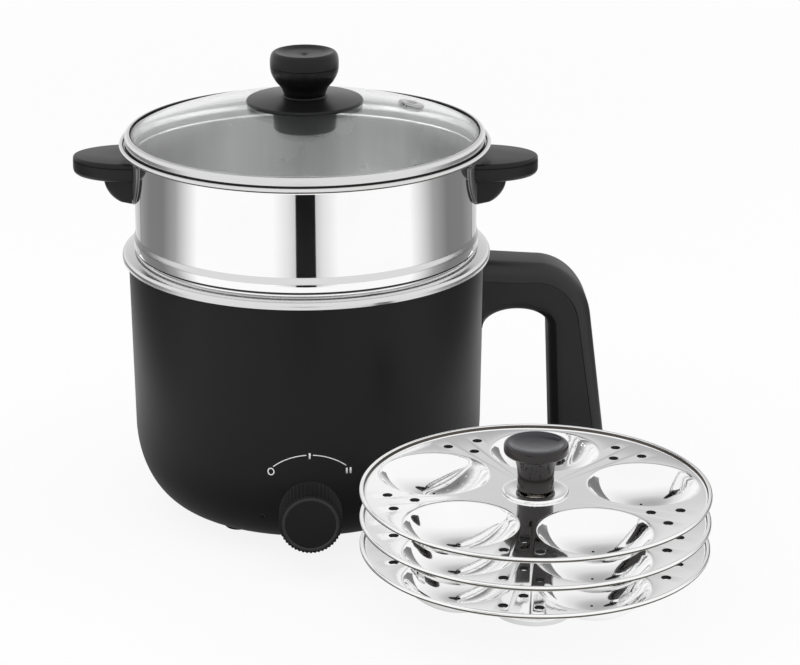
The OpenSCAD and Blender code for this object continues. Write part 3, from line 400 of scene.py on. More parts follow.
def copied(piece, name, move=(0, 0, 0), turn=0, about=(0, 0, 0)):
    """Copy with its own mesh, turned about an upright axis by degrees and then moved."""
    only(piece)
    bpy.ops.object.duplicate()
    twin = bpy.context.object
    twin.name = name
    bpy.ops.object.mode_set(mode="EDIT")
    bpy.ops.mesh.select_all(action="SELECT")
    # With no window this operator turns the other way
    bpy.ops.transform.rotate(value=-math.radians(turn), orient_axis="Z", center_override=Vector(about) * MM)
    bpy.ops.transform.translate(value=Vector(move) * MM)
    bpy.ops.object.mode_set(mode="OBJECT")
    return twin


def around_stand(radius, angle, z=0):
    """Place at a radius and an angle in degrees about the stand's post."""
    a = math.radians(angle)
    return STAND + Vector((radius * math.cos(a), radius * math.sin(a), z))


def fitted(piece, body, finish_name, slot, *nodes):
    """Finishes a piece: its material, its body and the nodes that it stands for. The slot argument is not
    used.
    """
    piece.data.materials.clear()
    piece.data.materials.append(finish(finish_name))
    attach(piece, body)
    if nodes:
        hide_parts(*nodes)


def faced(piece, finish_name, wanted):
    """Gives the faces that a test of their centre and normal wants a second finish."""
    piece.data.materials.append(finish(finish_name))
    select_parts(piece, "FACE", lambda f: wanted(f.center / MM, f.normal))
    piece.active_material_index = len(piece.data.materials) - 1
    bpy.ops.object.material_slot_assign()
    nothing_selected()


# Finishes

class Finish:
    """Material with a Principled shader and textures on Object coordinates."""

    def __init__(self, name, base, roughness, metallic=0.0):
        self.base, self.roughness = base, roughness
        self.material = bpy.data.materials.new(name)
        self.material.use_nodes = True
        self.nodes = self.material.node_tree.nodes
        self.link = self.material.node_tree.links.new
        self.shader = self.nodes["Principled BSDF"]
        self.place = self.nodes.new("ShaderNodeTexCoord").outputs["Object"]
        self.set("Base Color", (*base, 1))
        self.set("Roughness", roughness)
        self.set("Metallic", metallic)

    def set(self, socket, value):
        self.shader.inputs[socket].default_value = value
        return self

    def noise(self, scale, detail=2, stretch=(1, 1, 1)):
        """Noise with a number of features to the metre, stretched along the axes."""
        mapping = self.nodes.new("ShaderNodeMapping")
        mapping.inputs["Scale"].default_value = stretch
        self.link(self.place, mapping.inputs["Vector"])
        texture = self.nodes.new("ShaderNodeTexNoise")
        texture.inputs["Scale"].default_value = scale
        texture.inputs["Detail"].default_value = detail
        self.link(mapping.outputs["Vector"], texture.inputs["Vector"])
        return texture.outputs["Fac"]

    def ramp(self, source, dark, light):
        """Two colours, spread over the middle of a source's range."""
        ramp = self.nodes.new("ShaderNodeValToRGB")
        ramp.color_ramp.elements[0].position = 0.3
        ramp.color_ramp.elements[1].position = 0.7
        ramp.color_ramp.elements[0].color = (*dark, 1)
        ramp.color_ramp.elements[1].color = (*light, 1)
        self.link(source, ramp.inputs["Fac"])
        return ramp.outputs["Color"]

    def shade(self, source, darker, lighter):
        """Varies the base colour between two shades of itself."""
        dark = [c * darker for c in self.base]
        light = [c * lighter for c in self.base]
        self.link(self.ramp(source, dark, light), self.shader.inputs["Base Color"])

    def gloss(self, source, spread):
        """Varies the roughness about its value."""
        dark = [self.roughness * (1 - spread)] * 3
        light = [self.roughness * (1 + spread)] * 3
        self.link(self.ramp(source, dark, light), self.shader.inputs["Roughness"])

    def bump(self, source, height):
        """Raises the surface by a source, with its height in millimetres."""
        bump = self.nodes.new("ShaderNodeBump")
        bump.inputs["Distance"].default_value = height * MM
        self.link(source, bump.inputs["Height"])
        self.link(bump.outputs["Normal"], self.shader.inputs["Normal"])


def moulded_plastic(name, base, roughness, grain=1500, height=0.012, shine=0.5):
    """Moulded plastic: a fine grain, uneven gloss and a slight change of shade."""
    made = Finish(name, base, roughness).set("Specular IOR Level", shine)
    patches = made.noise(24, detail=4)
    made.shade(patches, 0.93, 1.07)
    made.gloss(patches, 0.08)
    made.bump(made.noise(grain), height)
    return made.material


def polished_steel(name, roughness, shade=1.0, stretch=(1, 1, 1), height=0.0012, warm=0.0, streaks=0.0):
    """Polished steel: faint polishing lines, soft smudges in its gloss and, on a wall, upright streaks."""
    base = [shade * c for c in colour("steel")]
    made = Finish(name, (base[0], base[1] * (1 - warm), base[2] * (1 - 2 * warm)), roughness, metallic=1.0)
    smudges = made.noise(28, detail=4)
    if streaks:
        made.shade(made.noise(45, detail=3, stretch=(1, 1, 0.05)), 1 - streaks, 1 + streaks)
    else:
        made.shade(smudges, 0.985, 1.015)
    made.gloss(smudges, 0.2)
    made.bump(made.noise(700, stretch=stretch), height)
    return made.material


def clear_glass(name):
    """Clear tempered glass, slightly smudged."""
    made = Finish(name, (0.95, 0.965, 0.96), 0.02)
    made.set("Transmission Weight", 1.0)
    made.set("IOR", 1.5)
    made.gloss(made.noise(20, detail=3), 0.5)
    return made.material


def soft_rubber(name, base):
    """Rubber: dull, with a coarse grain."""
    made = Finish(name, base, 0.75)
    grain = made.noise(2200)
    made.shade(grain, 0.9, 1.1)
    made.bump(grain, 0.03)
    return made.material


def fine_plastic(name, base, roughness, shine):
    """Plastic with the fine grain of the handle and the knobs."""
    return moulded_plastic(name, base, roughness, grain=1700, height=0.006, shine=shine)


def smooth_plastic(name, base, roughness, **shine):
    """Plastic from a polished mould."""
    return moulded_plastic(name, base, roughness, grain=300, height=0.001, **shine)


# Each finish by its name: its colour where it has one of its own, and its roughness
FINISHES = {
    "shell_black": lambda name: moulded_plastic(
        name, colour("shell"), 0.36, grain=1300, height=0.008, shine=0.19),
    "grip_black": lambda name: fine_plastic(name, colour("grip"), 0.34, 0.25),
    "arm_black": lambda name: fine_plastic(name, (0.017, 0.017, 0.0175), 0.36, 0.25),
    "back_black": lambda name: fine_plastic(name, colour("back"), 0.42, 0.45),
    "knob_black": lambda name: fine_plastic(name, (0.0065, 0.0065, 0.0068), 0.3, 0.25),
    "face_black": lambda name: fine_plastic(name, (0.005, 0.005, 0.005), 0.34, 0.2),
    "palm_black": lambda name: fine_plastic(name, colour("grip"), 0.6, 0.1),
    # Painted shade: near black matte plastic on the control knob's side and in the main handle's seam
    "knurl_black": lambda name: moulded_plastic(
        name, (0.0025, 0.0025, 0.0025), 0.6, height=0.006, shine=0.06),
    # Painted reflection: the collar under the glass is mid grey, not black, for the glare of the glass over
    # it
    "collar_grey": lambda name: moulded_plastic(name, (0.15, 0.15, 0.15), 0.4),
    "gloss_black": lambda name: smooth_plastic(name, colour("gloss"), 0.08),
    # Painted reflection: bluish grey on the stand knob's dish for the sky that it mirrors
    "dish_grey": lambda name: smooth_plastic(name, (0.030, 0.030, 0.038), 0.16),
    "base_black": lambda name: moulded_plastic(name, colour("shell"), 0.5, height=0.03),
    "inlet_black": lambda name: moulded_plastic(name, (0.016, 0.016, 0.017), 0.48),
    "switch_black": lambda name: moulded_plastic(name, (0.03, 0.03, 0.032), 0.5),
    "cream_plastic": lambda name: moulded_plastic(name, (0.62, 0.57, 0.46), 0.45),
    "wire_sleeve": lambda name: moulded_plastic(name, (0.2, 0.08, 0.035), 0.55),
    "lens_red": lambda name: smooth_plastic(name, (0.003, 0.0006, 0.0006), 0.2, shine=0.2),
    "dial_white": lambda name: moulded_plastic(name, colour("dial"), 0.5, grain=2600, height=0.004),
    # Painted shade: black rubber finish on faces where the dark gap lines fall, under the lid's band and
    # under the steamer's skirt
    "lip_black": lambda name: soft_rubber(name, (0.006, 0.006, 0.006)),
    "foot_rubber": lambda name: soft_rubber(name, (0.012, 0.012, 0.012)),
    "seal_rubber": lambda name: soft_rubber(name, (0.008, 0.008, 0.008)),
    "bowl_steel": lambda name: polished_steel(name, 0.045, shade=1.07, stretch=(0.3, 0.3, 3), height=0.0006),
    "inside_steel": lambda name: polished_steel(name, 0.3, shade=0.8, height=0.002, streaks=0.16),
    # Steel of the lid's band; on the steamer bowl this darker steel is painted shade on its mouth, bead top
    # and skirt slope
    "band_steel": lambda name: polished_steel(name, 0.22, shade=0.8),
    "vent_steel": lambda name: polished_steel(name, 0.2, shade=0.5),
    "pot_steel": lambda name: polished_steel(name, 0.2, shade=0.8, stretch=(0.3, 0.3, 3)),
    "plate_steel": lambda name: polished_steel(name, 0.06, shade=1.05),
    # Painted shade: near black steel on the walls of the plates' holes
    "hole_dark": lambda name: polished_steel(name, 0.5, shade=0.03),
    # Painted shade: dark warm steel on the shaded undersides and inner sides of the rolled rims
    "rim_dark": lambda name: polished_steel(name, 0.4, shade=0.12, warm=0.12),
    "bracket_steel": lambda name: polished_steel(name, 0.5, shade=0.26),
    "screw_steel": lambda name: polished_steel(name, 0.25, shade=0.6),
    "element_steel": lambda name: polished_steel(name, 0.45, shade=0.4),
    "cast_aluminium": lambda name: polished_steel(name, 0.5, shade=0.75, height=0.02),
    "brass": lambda name: polished_steel(name, 0.3, shade=0.85, warm=0.22),
    "lid_glass": clear_glass,
}


def finish(name):
    """The finish of that name, made on its first use. Plain names may be the frame's own."""
    own_name = name + "_finish"
    return bpy.data.materials.get(own_name) or FINISHES[name](own_name)


# Pieces of the kettle

def shell_side(inside):
    """Side of the shell from its bottom to its top, a depth inside its outer face."""
    centre = (BODY_R - size("shell_draft") - size("corner_w"), BODY_LOW + size("corner_h"))
    corner = arc(centre, size("corner_w") - inside, size("corner_h") - inside, -90, 0, 36)
    return corner + [(BODY_R - inside, BODY_TOP)]


class KETTLE_OT_shell(bpy.types.Operator):
    """Outer shell with the boss behind the control knob and the housing of the power inlet"""

    bl_idname = "kettle.shell"
    bl_label = "Shell"

    def execute(self, context):
        wall, lip = size("shell_wall"), 0.6
        open_r = high("base_cover").x + 0.15
        ledge_r, ledge_z = open_r - 3.5, high("base_cover").z + 0.15
        outer, inner = shell_side(0), shell_side(wall)
        shell = turned("kettle_shell", (
            outer[:-1] + arc((BODY_R - lip, BODY_TOP - lip), lip, lip, 0, 90, 4) + inner[::-1]
            + [(ledge_r, ledge_z + wall), (ledge_r, ledge_z), (open_r, ledge_z), (open_r, BODY_LOW)]))
        boss_r, boss_face, bush_r = 12, KNOB_BACK - 1, 4.7
        boss = turned("boss", (
            [(0, -5), (boss_r, -5)] + arc((boss_r - 0.5, -0.5), 0.5, 0.5, 0, 90, 4) + [(0, 0)]),
            at=(0, -boss_face, KNOB_Z), axis=FRONT, steps=72)
        flange_low, flange_high = low("power_inlet"), high("power_inlet")
        face, depth, corner_r = flange_high.y - 2, 9, 5
        housing = block((flange_low.x, face - depth, flange_low.z), (flange_high.x, face, flange_high.z))
        bevelled(housing, corner_r, 8, lambda a, b: abs(a.y - b.y) > 1)
        bevelled(housing, 0.5, 3, lambda a, b: min(a.y, b.y) > face - 0.01)
        fused(shell, boss, housing)
        socket_w, socket_h = 14.3, 9.8
        socket_z = (flange_low.z + flange_high.z) / 2
        cut(shell, rod(bush_r, (0, -boss_face - 1, KNOB_Z), (0, -boss_face + 9, KNOB_Z), 48), block(
            (-socket_w, face - 20, socket_z - socket_h), (socket_w, face + 1, socket_z + socket_h)))
        fitted(shell, "kettle", "shell_black", "shell_black", "outer_shell")
        return {"FINISHED"}


class KETTLE_OT_feet(bpy.types.Operator):
    """Four rubber feet, each with a hollow in its sole"""

    bl_idname = "kettle.feet"
    bl_label = "Feet"

    def execute(self, context):
        foot_r, plug_r, top = 6.5, 2.9, high("feet").z
        pitch = high("feet").x - foot_r
        foot = turned("kettle_feet", (
            [(0, 0.7), (2.4, 0.7), (3, 0)] + arc((foot_r - 1.2, 1.2), 1.2, 1.2, -90, 0, 6)
            + [(foot_r - 0.3, BODY_LOW), (plug_r, BODY_LOW), (plug_r, top), (0, top)]),
            at=(pitch, pitch, 0), steps=48)
        joined(foot, *[copied(foot, "foot", turn=turn) for turn in (90, 180, 270)])
        fitted(foot, "kettle", "foot_rubber", "foot_rubber", "feet")
        return {"FINISHED"}


class KETTLE_OT_pot(bpy.types.Operator):
    """Pressed steel pot with its rolled rim over the shell"""

    bl_idname = "kettle.pot"
    bl_label = "Pot"

    def execute(self, context):
        sheet, pot_r, corner_r, mouth, nose = size("sheet"), 77.5, 14, 2.4, 2
        floor, top, rim_r = low("inner_pot").z + sheet, high("inner_pot").z, high("inner_pot").x
        path = (
            [(0, floor), (40, floor)]
            + arc((pot_r - corner_r, floor + corner_r), corner_r, corner_r, -90, 0, 18)
            + arc((pot_r + mouth, top - mouth), mouth, mouth, 180, 90, 10)
            + arc((rim_r - nose, top - 1 - nose), nose, nose, 80, -10, 10)
            + [(rim_r - 0.15, BODY_TOP + 1.1)])
        pot = turned("pot", sheet_outline(path, sheet))
        fitted(pot, "kettle", "pot_steel", "pot_steel", "inner_pot")
        return {"FINISHED"}


def handle_stations():
    """Stations along the handle: outer point, inner point, inset at the tip and depth of the seam."""
    top, arm_low = high("handle_cover").z, high("handle_cover").z - 24.3
    root_x, flare_w, flare, flare_sink, arm_fall = BODY_R - 1.6, 15, 9.5, 0.8, 1.8
    bend_out_w, bend_out, bend_in_w, bend_in = 26, 30, 14.6, 8.2
    lean_out, lean_in, tip, grip_in, grip_out = 7.1, 2.3, 6, 113.2, 133.5
    seam_arm, seam_bend, seam_end = 9, 6, 4.8
    grip_end = low("handle_cover").z + tip
    out_at = (grip_out - bend_out_w, top - arm_fall - bend_out)
    in_at = (grip_in - bend_in_w, arm_low - bend_in)
    flare_line = arc((BODY_R + flare_w, arm_low - flare), flare_w + flare_sink, flare, 180, 90, 10)
    slope = arm_fall / (out_at[0] - root_x)
    stations = [((root_x, top), (root_x, arm_low - flare), 0, seam_arm)]
    stations += [((x, top - slope * (x - root_x)), (x, z), 0, seam_arm) for x, z in flare_line]
    outer_bend = arc(out_at, bend_out_w, bend_out, 90, lean_out, 18)
    inner_bend = arc(in_at, bend_in_w, bend_in, 90, lean_in, 18)
    stations += [(a, b, 0, seam_arm + i / 18 * (seam_bend - seam_arm))
                 for i, (a, b) in enumerate(zip(outer_bend, inner_bend))]
    out_0, in_0 = outer_bend[-1], inner_bend[-1]

    def grip_point(begin, lean, z):
        return begin[0] + math.tan(math.radians(lean)) * (begin[1] - z), z

    for i in range(1, 9):
        t = i / 8
        outer = grip_point(out_0, lean_out, out_0[1] + t * (grip_end - out_0[1]))
        inner = grip_point(in_0, lean_in, in_0[1] + t * (grip_end - in_0[1]))
        stations.append((outer, inner, 0, seam_bend + t * (seam_end - seam_bend)))
    for angle in range(15, 90, 15):
        a = math.radians(angle)
        z = grip_end - tip * math.sin(a)
        stations.append((
            grip_point(out_0, lean_out, z), grip_point(in_0, lean_in, z), tip * (1 - math.cos(a)), seam_end))
    return stations


def handle_ring(near, far, half, depth, edge, notch=(0, 0)):
    """Ring of a half of the handle: round on far, its seam at a depth from near, with a notch there."""
    near, far = Vector(near), Vector(far)
    along = (far - near).normalized()
    reach = (far - near).length
    corner = reach - edge
    deep, wide = notch
    step = [(half, depth)]
    if deep:
        step = [(half - deep, depth), (half - deep, depth + wide), (half, depth + wide)]
    line = (
        [(-y, d) for y, d in step] + arc((-half + edge, corner), edge, edge, 180, 90, 8)
        + arc((half - edge, corner), edge, edge, 90, 0, 8) + step[::-1])
    places = [(near + along * d, y) for y, d in line]
    return [(place.x, y, place.y) for place, y in places]


class KETTLE_OT_handle(bpy.types.Operator):
    """Main handle in two halves, with the seam between them"""

    bl_idname = "kettle.handle"
    bl_label = "Handle"

    def execute(self, context):
        half, edge, gap = size("handle_half"), size("handle_edge"), size("handle_seam")
        notch, touch = 1.2, 0.02
        inner_rings, outer_rings = [], []
        for outer, inner, inset, seam in handle_stations():
            reach = (Vector(outer) - Vector(inner)).length
            back_inset = 0.6 * inset
            inner_face = tuple(Vector(inner).lerp(Vector(outer), inset / reach))
            outer_face = tuple(Vector(outer).lerp(Vector(inner), back_inset / reach))
            back_edge = min(edge, seam - back_inset - 0.4)
            inner_rings.append(handle_ring(
                outer, inner_face, half - inset, seam + touch, edge, (notch, gap - touch)))
            outer_rings.append(handle_ring(inner, outer_face, half - inset, reach - seam, back_edge))
        grip = lofted("handle_grip", inner_rings)
        fitted(grip, "kettle", "arm_black", "handle_black", "handle_inner")
        faced(grip, "palm_black", lambda c, n: n.x < -0.3)
        # Painted shade in the seam: the inner half's faces towards the outer half and the faces of its notch
        faced(grip, "knurl_black", lambda c, n: n.x + n.z > 0.5 or (
            abs(n.y) > 0.9 and abs(c.y) < half - notch / 2))
        back, tip_z = lofted("handle_back", outer_rings), low("handle_cover").z + 8
        fitted(back, "kettle", "back_black", "handle_black", "handle_cover")
        # Painted shade on the outer half's faces towards the seam
        faced(back, "knurl_black", lambda c, n: n.x + n.z < -0.5 and c.z > tip_z)
        return {"FINISHED"}


class KETTLE_OT_dial(bpy.types.Operator):
    """White marks of the dial on the shell: 0, I and II with an arc between them"""

    bl_idname = "kettle.dial"
    bl_label = "Dial"

    def execute(self, context):
        radius, line = size("dial_r"), size("dial_line")
        before = -BODY_R - 5
        gap_at_bar, gap_at_ends, mark_r = 3.2, 39.5, 24.7
        marks = start("dial_marks")
        for first, last in ((-gap_at_ends, -gap_at_bar), (gap_at_bar, gap_at_ends)):
            inside = arc((0, KNOB_Z), radius - line / 2, radius - line / 2, 90 - first, 90 - last, 16)
            outside = arc((0, KNOB_Z), radius + line / 2, radius + line / 2, 90 - first, 90 - last, 16)
            self.strip([(x, before, z) for x, z in inside], [(x, before, z) for x, z in outside])
        side = mark_r * math.sin(math.radians(45))
        oval = (-side, KNOB_Z + side)
        inside, outside = arc(oval, 1.05, 1.3, 0, 360, 24), arc(oval, 1.6, 1.85, 0, 360, 24)
        self.strip([(x, before, z) for x, z in inside], [(x, before, z) for x, z in outside])
        bar_half, bar_h, bar_r = 0.42, 2.8, 25.4
        for x, z in ((0, KNOB_Z + bar_r), (side - 0.85, KNOB_Z + side), (side + 0.85, KNOB_Z + side)):
            feet = [(x - bar_half, before, z - bar_h / 2), (x + bar_half, before, z - bar_h / 2)]
            self.strip(feet, [(a, b, c + bar_h) for a, b, c in feet])
        end(marks)
        modified(marks, "SHRINKWRAP", target=bpy.data.objects["kettle_shell"], wrap_method="PROJECT",
                 use_project_y=True, offset=0.04 * MM)
        modified(marks, "SOLIDIFY", thickness=0.05 * MM, offset=0)
        fitted(marks, "kettle", "dial_white", "shell_black")
        return {"FINISHED"}

    def strip(self, line_a, line_b):
        """Faces between two lines with as many points."""
        for a, b, c, d in zip(line_a, line_a[1:], line_b[1:], line_b):
            trace([a, b, c, d])
            bpy.ops.mesh.select_linked()
            bpy.ops.mesh.edge_face_add()


class KETTLE_OT_control_knob(bpy.types.Operator):
    """Control knob with a knurled side and a sunk face"""

    bl_idname = "kettle.control_knob"
    bl_label = "Control knob"

    def execute(self, context):
        teeth, depth = number("knurl_teeth"), size("knurl_depth")
        reach = -low("control_knob").y - KNOB_BACK
        edge, step, ring_r, ring_half, sink, cavity_r = 0.9, 0.4, 12.1, 0.7, 0.6, 11
        outline = (
            [(0, 6), (cavity_r, 6), (cavity_r, 0), (KNOB_R - 0.6, 0), (KNOB_R, 0.6)]
            + arc((KNOB_R - edge, reach - step - edge), edge, edge, 0, 90, 5)
            + arc((ring_r, reach - sink), ring_half, sink, 20, 180, 10) + [(0, reach - sink)])
        columns = 4 * teeth
        knob = turned(
            "dial_knob", outline, at=(0, -KNOB_BACK, KNOB_Z), axis=FRONT, steps=columns, angle=24)
        axis = Vector((0, -KNOB_BACK, KNOB_Z)) * MM

        def column(vertex):
            out = vertex.co - axis
            return round(math.atan2(out.x, out.z) / math.tau * columns) % 4

        def on_side(vertex):
            out = (vertex.co - axis) / MM
            return math.hypot(out.x, out.z) > KNOB_R - edge - 0.1 and -out.y > 0.1

        for wanted, share in (((1, 3), 0.5), ((2,), 1.0)):
            select_parts(knob, "VERT", lambda v: on_side(v) and column(v) in wanted)
            scale = 1 - share * depth / KNOB_R
            bpy.ops.transform.resize(value=(scale, 1, scale), center_override=axis)
            bpy.ops.object.mode_set(mode="OBJECT")
        fitted(knob, "control_knob", "face_black", "knob_black", "control_knob")
        # Painted shade: the knurled side is near black, darker than the knob's face
        faced(knob, "knurl_black", lambda c, n: n.y > -0.6 and math.hypot(c.x, c.z - KNOB_Z) > KNOB_R - 1.5)
        faced(knob, "back_black", lambda c, n: -c.y > KNOB_BACK + reach - sink and (
            abs(math.hypot(c.x, c.z - KNOB_Z) - ring_r) < ring_half))
        return {"FINISHED"}


def cross_screw(name, at, axis, head_r, head_h, shank):
    """Pan head screw with a cross recess, with its head's seat at a place."""
    screw = turned(name, (
        [(0, head_h)] + arc((head_r - 1.2, head_h - 1.2), 1.2, 1.2, 90, 0, 5)
        + [(head_r, 0), (1.45, 0), (1.45, -shank), (0, -shank)]), at=at, axis=axis, steps=32)
    across = [v for v in (RIGHT, BACK, UP) if abs(v.dot(axis)) < 0.5]
    top = Vector(at) + axis * (head_h + 0.5)
    for long_way, short_way in (across, across[::-1]):
        reach = long_way * head_r * 0.6 + short_way * 0.42
        corners = [top - reach, top + reach - axis * 1.6]
        cut(screw, block([min(c) for c in zip(*corners)], [max(c) for c in zip(*corners)]))
    return screw


class KETTLE_OT_screws(bpy.types.Operator):
    """Screws with a cross recess: under the base, at the inlet and on the side handles"""

    bl_idname = "kettle.screws"
    bl_label = "Screws"

    def execute(self, context):
        head_r, head_h = 3, 1.8
        base_r, base_z = high("base_screws").y - head_r, low("base_screws").z + head_h
        base = [
            cross_screw("base_screw_heads", (base_r * math.cos(a), base_r * math.sin(a), base_z), DOWN,
                        head_r, head_h, high("base_screws").z - base_z)
            for a in [math.radians(angle) for angle in (90, 210, 330)]]
        fitted(joined(*base), "kettle", "screw_steel", "screw_steel", "base_screws")
        x, y = high("inlet_screws").x - head_r, high("inlet_screws").y - head_h
        z = high("inlet_screws").z - head_r
        inlet = [cross_screw("inlet_screw_heads", (side * x, y, z), BACK, head_r, head_h,
                             y - low("inlet_screws").y) for side in (-1, 1)]
        fitted(joined(*inlet), "kettle", "screw_steel", "screw_steel", "inlet_screws")
        x, z = high("steamer_handle_screws").x - head_h, high("steamer_handle_screws").z - head_r
        straight = joined(*[cross_screw("side_screws", (axis.x * x, 0, z), axis, head_r, head_h, 7)
                            for axis in (LEFT, RIGHT)])
        sides = copied(straight, "side_screw_heads", turn=EAR_TURN)
        bpy.data.objects.remove(straight)
        fitted(sides, "steamer", "screw_steel", "screw_steel", "steamer_handle_screws")
        return {"FINISHED"}


# Pieces of the steamer

class KETTLE_OT_steamer(bpy.types.Operator):
    """Steamer bowl with its skirt, rolled rim and a floor full of steam holes"""

    bl_idname = "kettle.steamer"
    bl_label = "Steamer"

    def execute(self, context):
        sheet, floor = size("sheet"), low("steamer_bowl").z + size("sheet")
        low_r, low_round, turn, flare, bead_r = 75.7, 8, 1, 3.5, 1.1
        shoulder, skirt_r, skirt_h, wall_r = 129.35, 79.6, 7, 78.8
        path = (
            [(0, floor), (60, floor)]
            + arc((low_r - low_round, floor + low_round), low_round, low_round, -90, 0, 10)
            + arc((low_r + turn, shoulder - turn), turn, turn, 180, 90, 5)
            + arc((skirt_r - turn, shoulder + turn), turn, turn, -90, 0, 5)
            + spline([(skirt_r, shoulder + skirt_h - 2.6), (skirt_r - 0.1, shoulder + skirt_h - 2),
                      (wall_r + 0.1, shoulder + skirt_h), (wall_r, shoulder + skirt_h + 0.6)], 4)
            + arc((wall_r + flare, BOWL_RIM - flare - 0.9), flare, flare, 180, 90, 10))
        bead = arc((BOWL_RIM_R - bead_r, BOWL_RIM - bead_r), bead_r, bead_r, 169, -158, 18)
        ledge = BOWL_RIM - 7.7
        beads = ((ledge, 0.5), (ledge + 3.9, 0.35))
        mouth = [p for z, r in beads for p in arc((wall_r, z), r, r, 270, 90, 6)]
        mouth.append((wall_r + 0.9, BOWL_RIM - 1.2))
        inside = [p for p in path if p[1] < ledge - 1] + mouth + path[-1:]
        bowl = turned("steamer_pan", inside + bead + beside(path, sheet)[::-1])
        hole_r, step = 2.5, 18
        holes = [rod(hole_r, (0, 0, floor - 2), (0, 0, floor + 2), 24)]
        for ring in (1, 2, 3):
            for i in range(6 * ring):
                a = math.tau * i / (6 * ring)
                x, y = ring * step * math.cos(a), ring * step * math.sin(a)
                holes.append(rod(hole_r, (x, y, floor - 2), (x, y, floor + 2), 24))
        cut(bowl, joined(*holes))
        fitted(bowl, "steamer", "bowl_steel", "bright_steel", "steamer_bowl")
        faced(bowl, "inside_steel", lambda c, n: c.z < ledge - 0.5 and (n.x * c.x + n.y * c.y < -1 or (
            n.z > 0.5 and c.xy.length < low_r)))
        # Painted shade: a darker, rougher steel on the band inside the mouth and on the bead's top, to dim
        # their reflections
        faced(bowl, "band_steel", lambda c, n: c.z > ledge and all(abs(c.z - z) > r for z, r in beads) and (
            n.x * c.x + n.y * c.y < -1 or c.z > BOWL_RIM - 2 * bead_r and c.xy.length > wall_r + flare - 1))
        # Painted shade: the same darker steel on the slope from the skirt to the wall, to dim its highlight
        faced(bowl, "band_steel", lambda c, n: n.x * c.x + n.y * c.y > 1 and (
            -2.8 < c.z - shoulder - skirt_h < 0.8))
        # Painted shade: the skirt's lower turn is black for the dark gap line above the pot's rim
        faced(bowl, "lip_black", lambda c, n: (
            shoulder - 0.1 < c.z < shoulder + 0.75 and c.xy.length > skirt_r - turn))
        # Painted shade: the underside of the rolled bead is dark warm steel
        faced(bowl, "rim_dark", lambda c, n: c.z > BOWL_RIM - 2 * bead_r and n.z < -0.35 and (
            c.xy.length > BOWL_RIM_R - bead_r))
        return {"FINISHED"}


class KETTLE_OT_side_handles(bpy.types.Operator):
    """Half oval handles at the sides of the steamer, each with a foot under it"""

    bl_idname = "kettle.side_handles"
    bl_label = "Side handles"

    def execute(self, context):
        top = high("steamer_handle_right").z
        ear_low, edge, half, wall_r = top - 9, 3, 19, 79.4
        reach = high("steamer_handle_right").x - wall_r
        inner_r, screw_z, seat_x = 80.5, high("steamer_handle_screws").z - 3, 87.9
        crisp, groove, groove_low = 1.1, 0.45, top - 2.4
        rings = []
        side = arc((0, ear_low + edge), edge, edge, -90, 0, 6) + [
            (edge, groove_low), (edge - groove, groove_low + 0.15), (edge - groove, groove_low + 0.5),
            (edge - 0.1, groove_low + 0.65)]
        for x, z in side + arc((edge - 0.1 - crisp, top - crisp), crisp, crisp, 0, 90, 6):
            inset = edge - x
            plan = arc((wall_r, 0), reach - inset, half - inset, -90, 90, 36)
            rings.append([(wall_r - 4, -half + inset, z)] + [(*p, z) for p in plan]
                         + [(wall_r - 4, half - inset, z)])
        ear = lofted("ear", rings, angle=40)
        foot_half, foot_reach, foot_h, corner, sole = 12, 13.4, 12.6, 4.4, 11.8
        foot_rings = []
        for i in range(15):
            depth = sole * (1 - i / 12)
            x = wall_r + foot_reach * math.sqrt(1 - (max(depth, 0) / foot_h) ** 2)
            inset = max(0, depth - sole + 1)
            y, r = foot_half - inset, min(corner, x - wall_r - 0.5)
            plan = arc((x - inset - r, -y + r), r, r, -90, 0, 8) + arc((x - inset - r, y - r), r, r, 0, 90, 8)
            z = ear_low - depth
            foot_rings.append([(wall_r - 4, -y, z)] + [(*p, z) for p in plan] + [(wall_r - 4, y, z)])
        fused(ear, lofted("foot", foot_rings, angle=40))
        cut(ear, rod(inner_r, (0, 0, ear_low - 20), (0, 0, top + 5), number("round_steps")),
            rod(3.3, (seat_x, 0, screw_z), (seat_x + 30, 0, screw_z)))
        for name, turn in (("right", 0), ("left", 180)):
            handle = copied(ear, "side_handle_" + name, turn=turn + EAR_TURN)
            fitted(handle, "steamer", "grip_black", "handle_black", "steamer_handle_" + name)
        bpy.data.objects.remove(ear)
        return {"FINISHED"}


# Pieces of the lid

class KETTLE_OT_lid_glass(bpy.types.Operator):
    """Domed glass of the lid with its steel band"""

    bl_idname = "kettle.lid_glass"
    bl_label = "Lid glass and band"

    def execute(self, context):
        hole_r, edge_r, glass_r, steps = 3.5, 80.4, high("lid_glass").x, 40
        path = [(r, dome_z(r)) for r in [hole_r + (edge_r - hole_r) * i / steps for i in range(steps + 1)]]
        path.append((glass_r, dome_z(edge_r)))
        glass = turned("lid_dome", sheet_outline(path, size("glass_t")))
        place, axis = vent_place()
        cut(glass, rod(3.4, place - axis * 8, place + axis * 4, 40))
        fitted(glass, "lid", "lid_glass", "lid_glass", "lid_glass")
        low_z, top, band_r = low("lid_band").z, high("lid_band").z, high("lid_band").x
        shoulder, hook, lip = 1.8, 0.9, 1.3
        band_path = (
            [(edge_r, top - 0.25), (edge_r + 0.5, top)]
            + arc((band_r - shoulder, top - shoulder), shoulder, shoulder, 90, 0, 8)
            + [(band_r, low_z + lip)]
            + arc((band_r - hook, low_z + hook), hook, hook, 0, -90, 6) + [(78.3, low_z)])
        band = turned("lid_ring", sheet_outline(band_path, size("sheet")))
        fitted(band, "lid", "band_steel", "bright_steel", "lid_band")
        # Painted shade: the band's faces below low_z + lip and along its edge against the glass are black,
        # for the dark lines of the gaps there
        faced(band, "lip_black", lambda c, n: c.z < low_z + lip or c.xy.length < edge_r + 0.4)
        return {"FINISHED"}


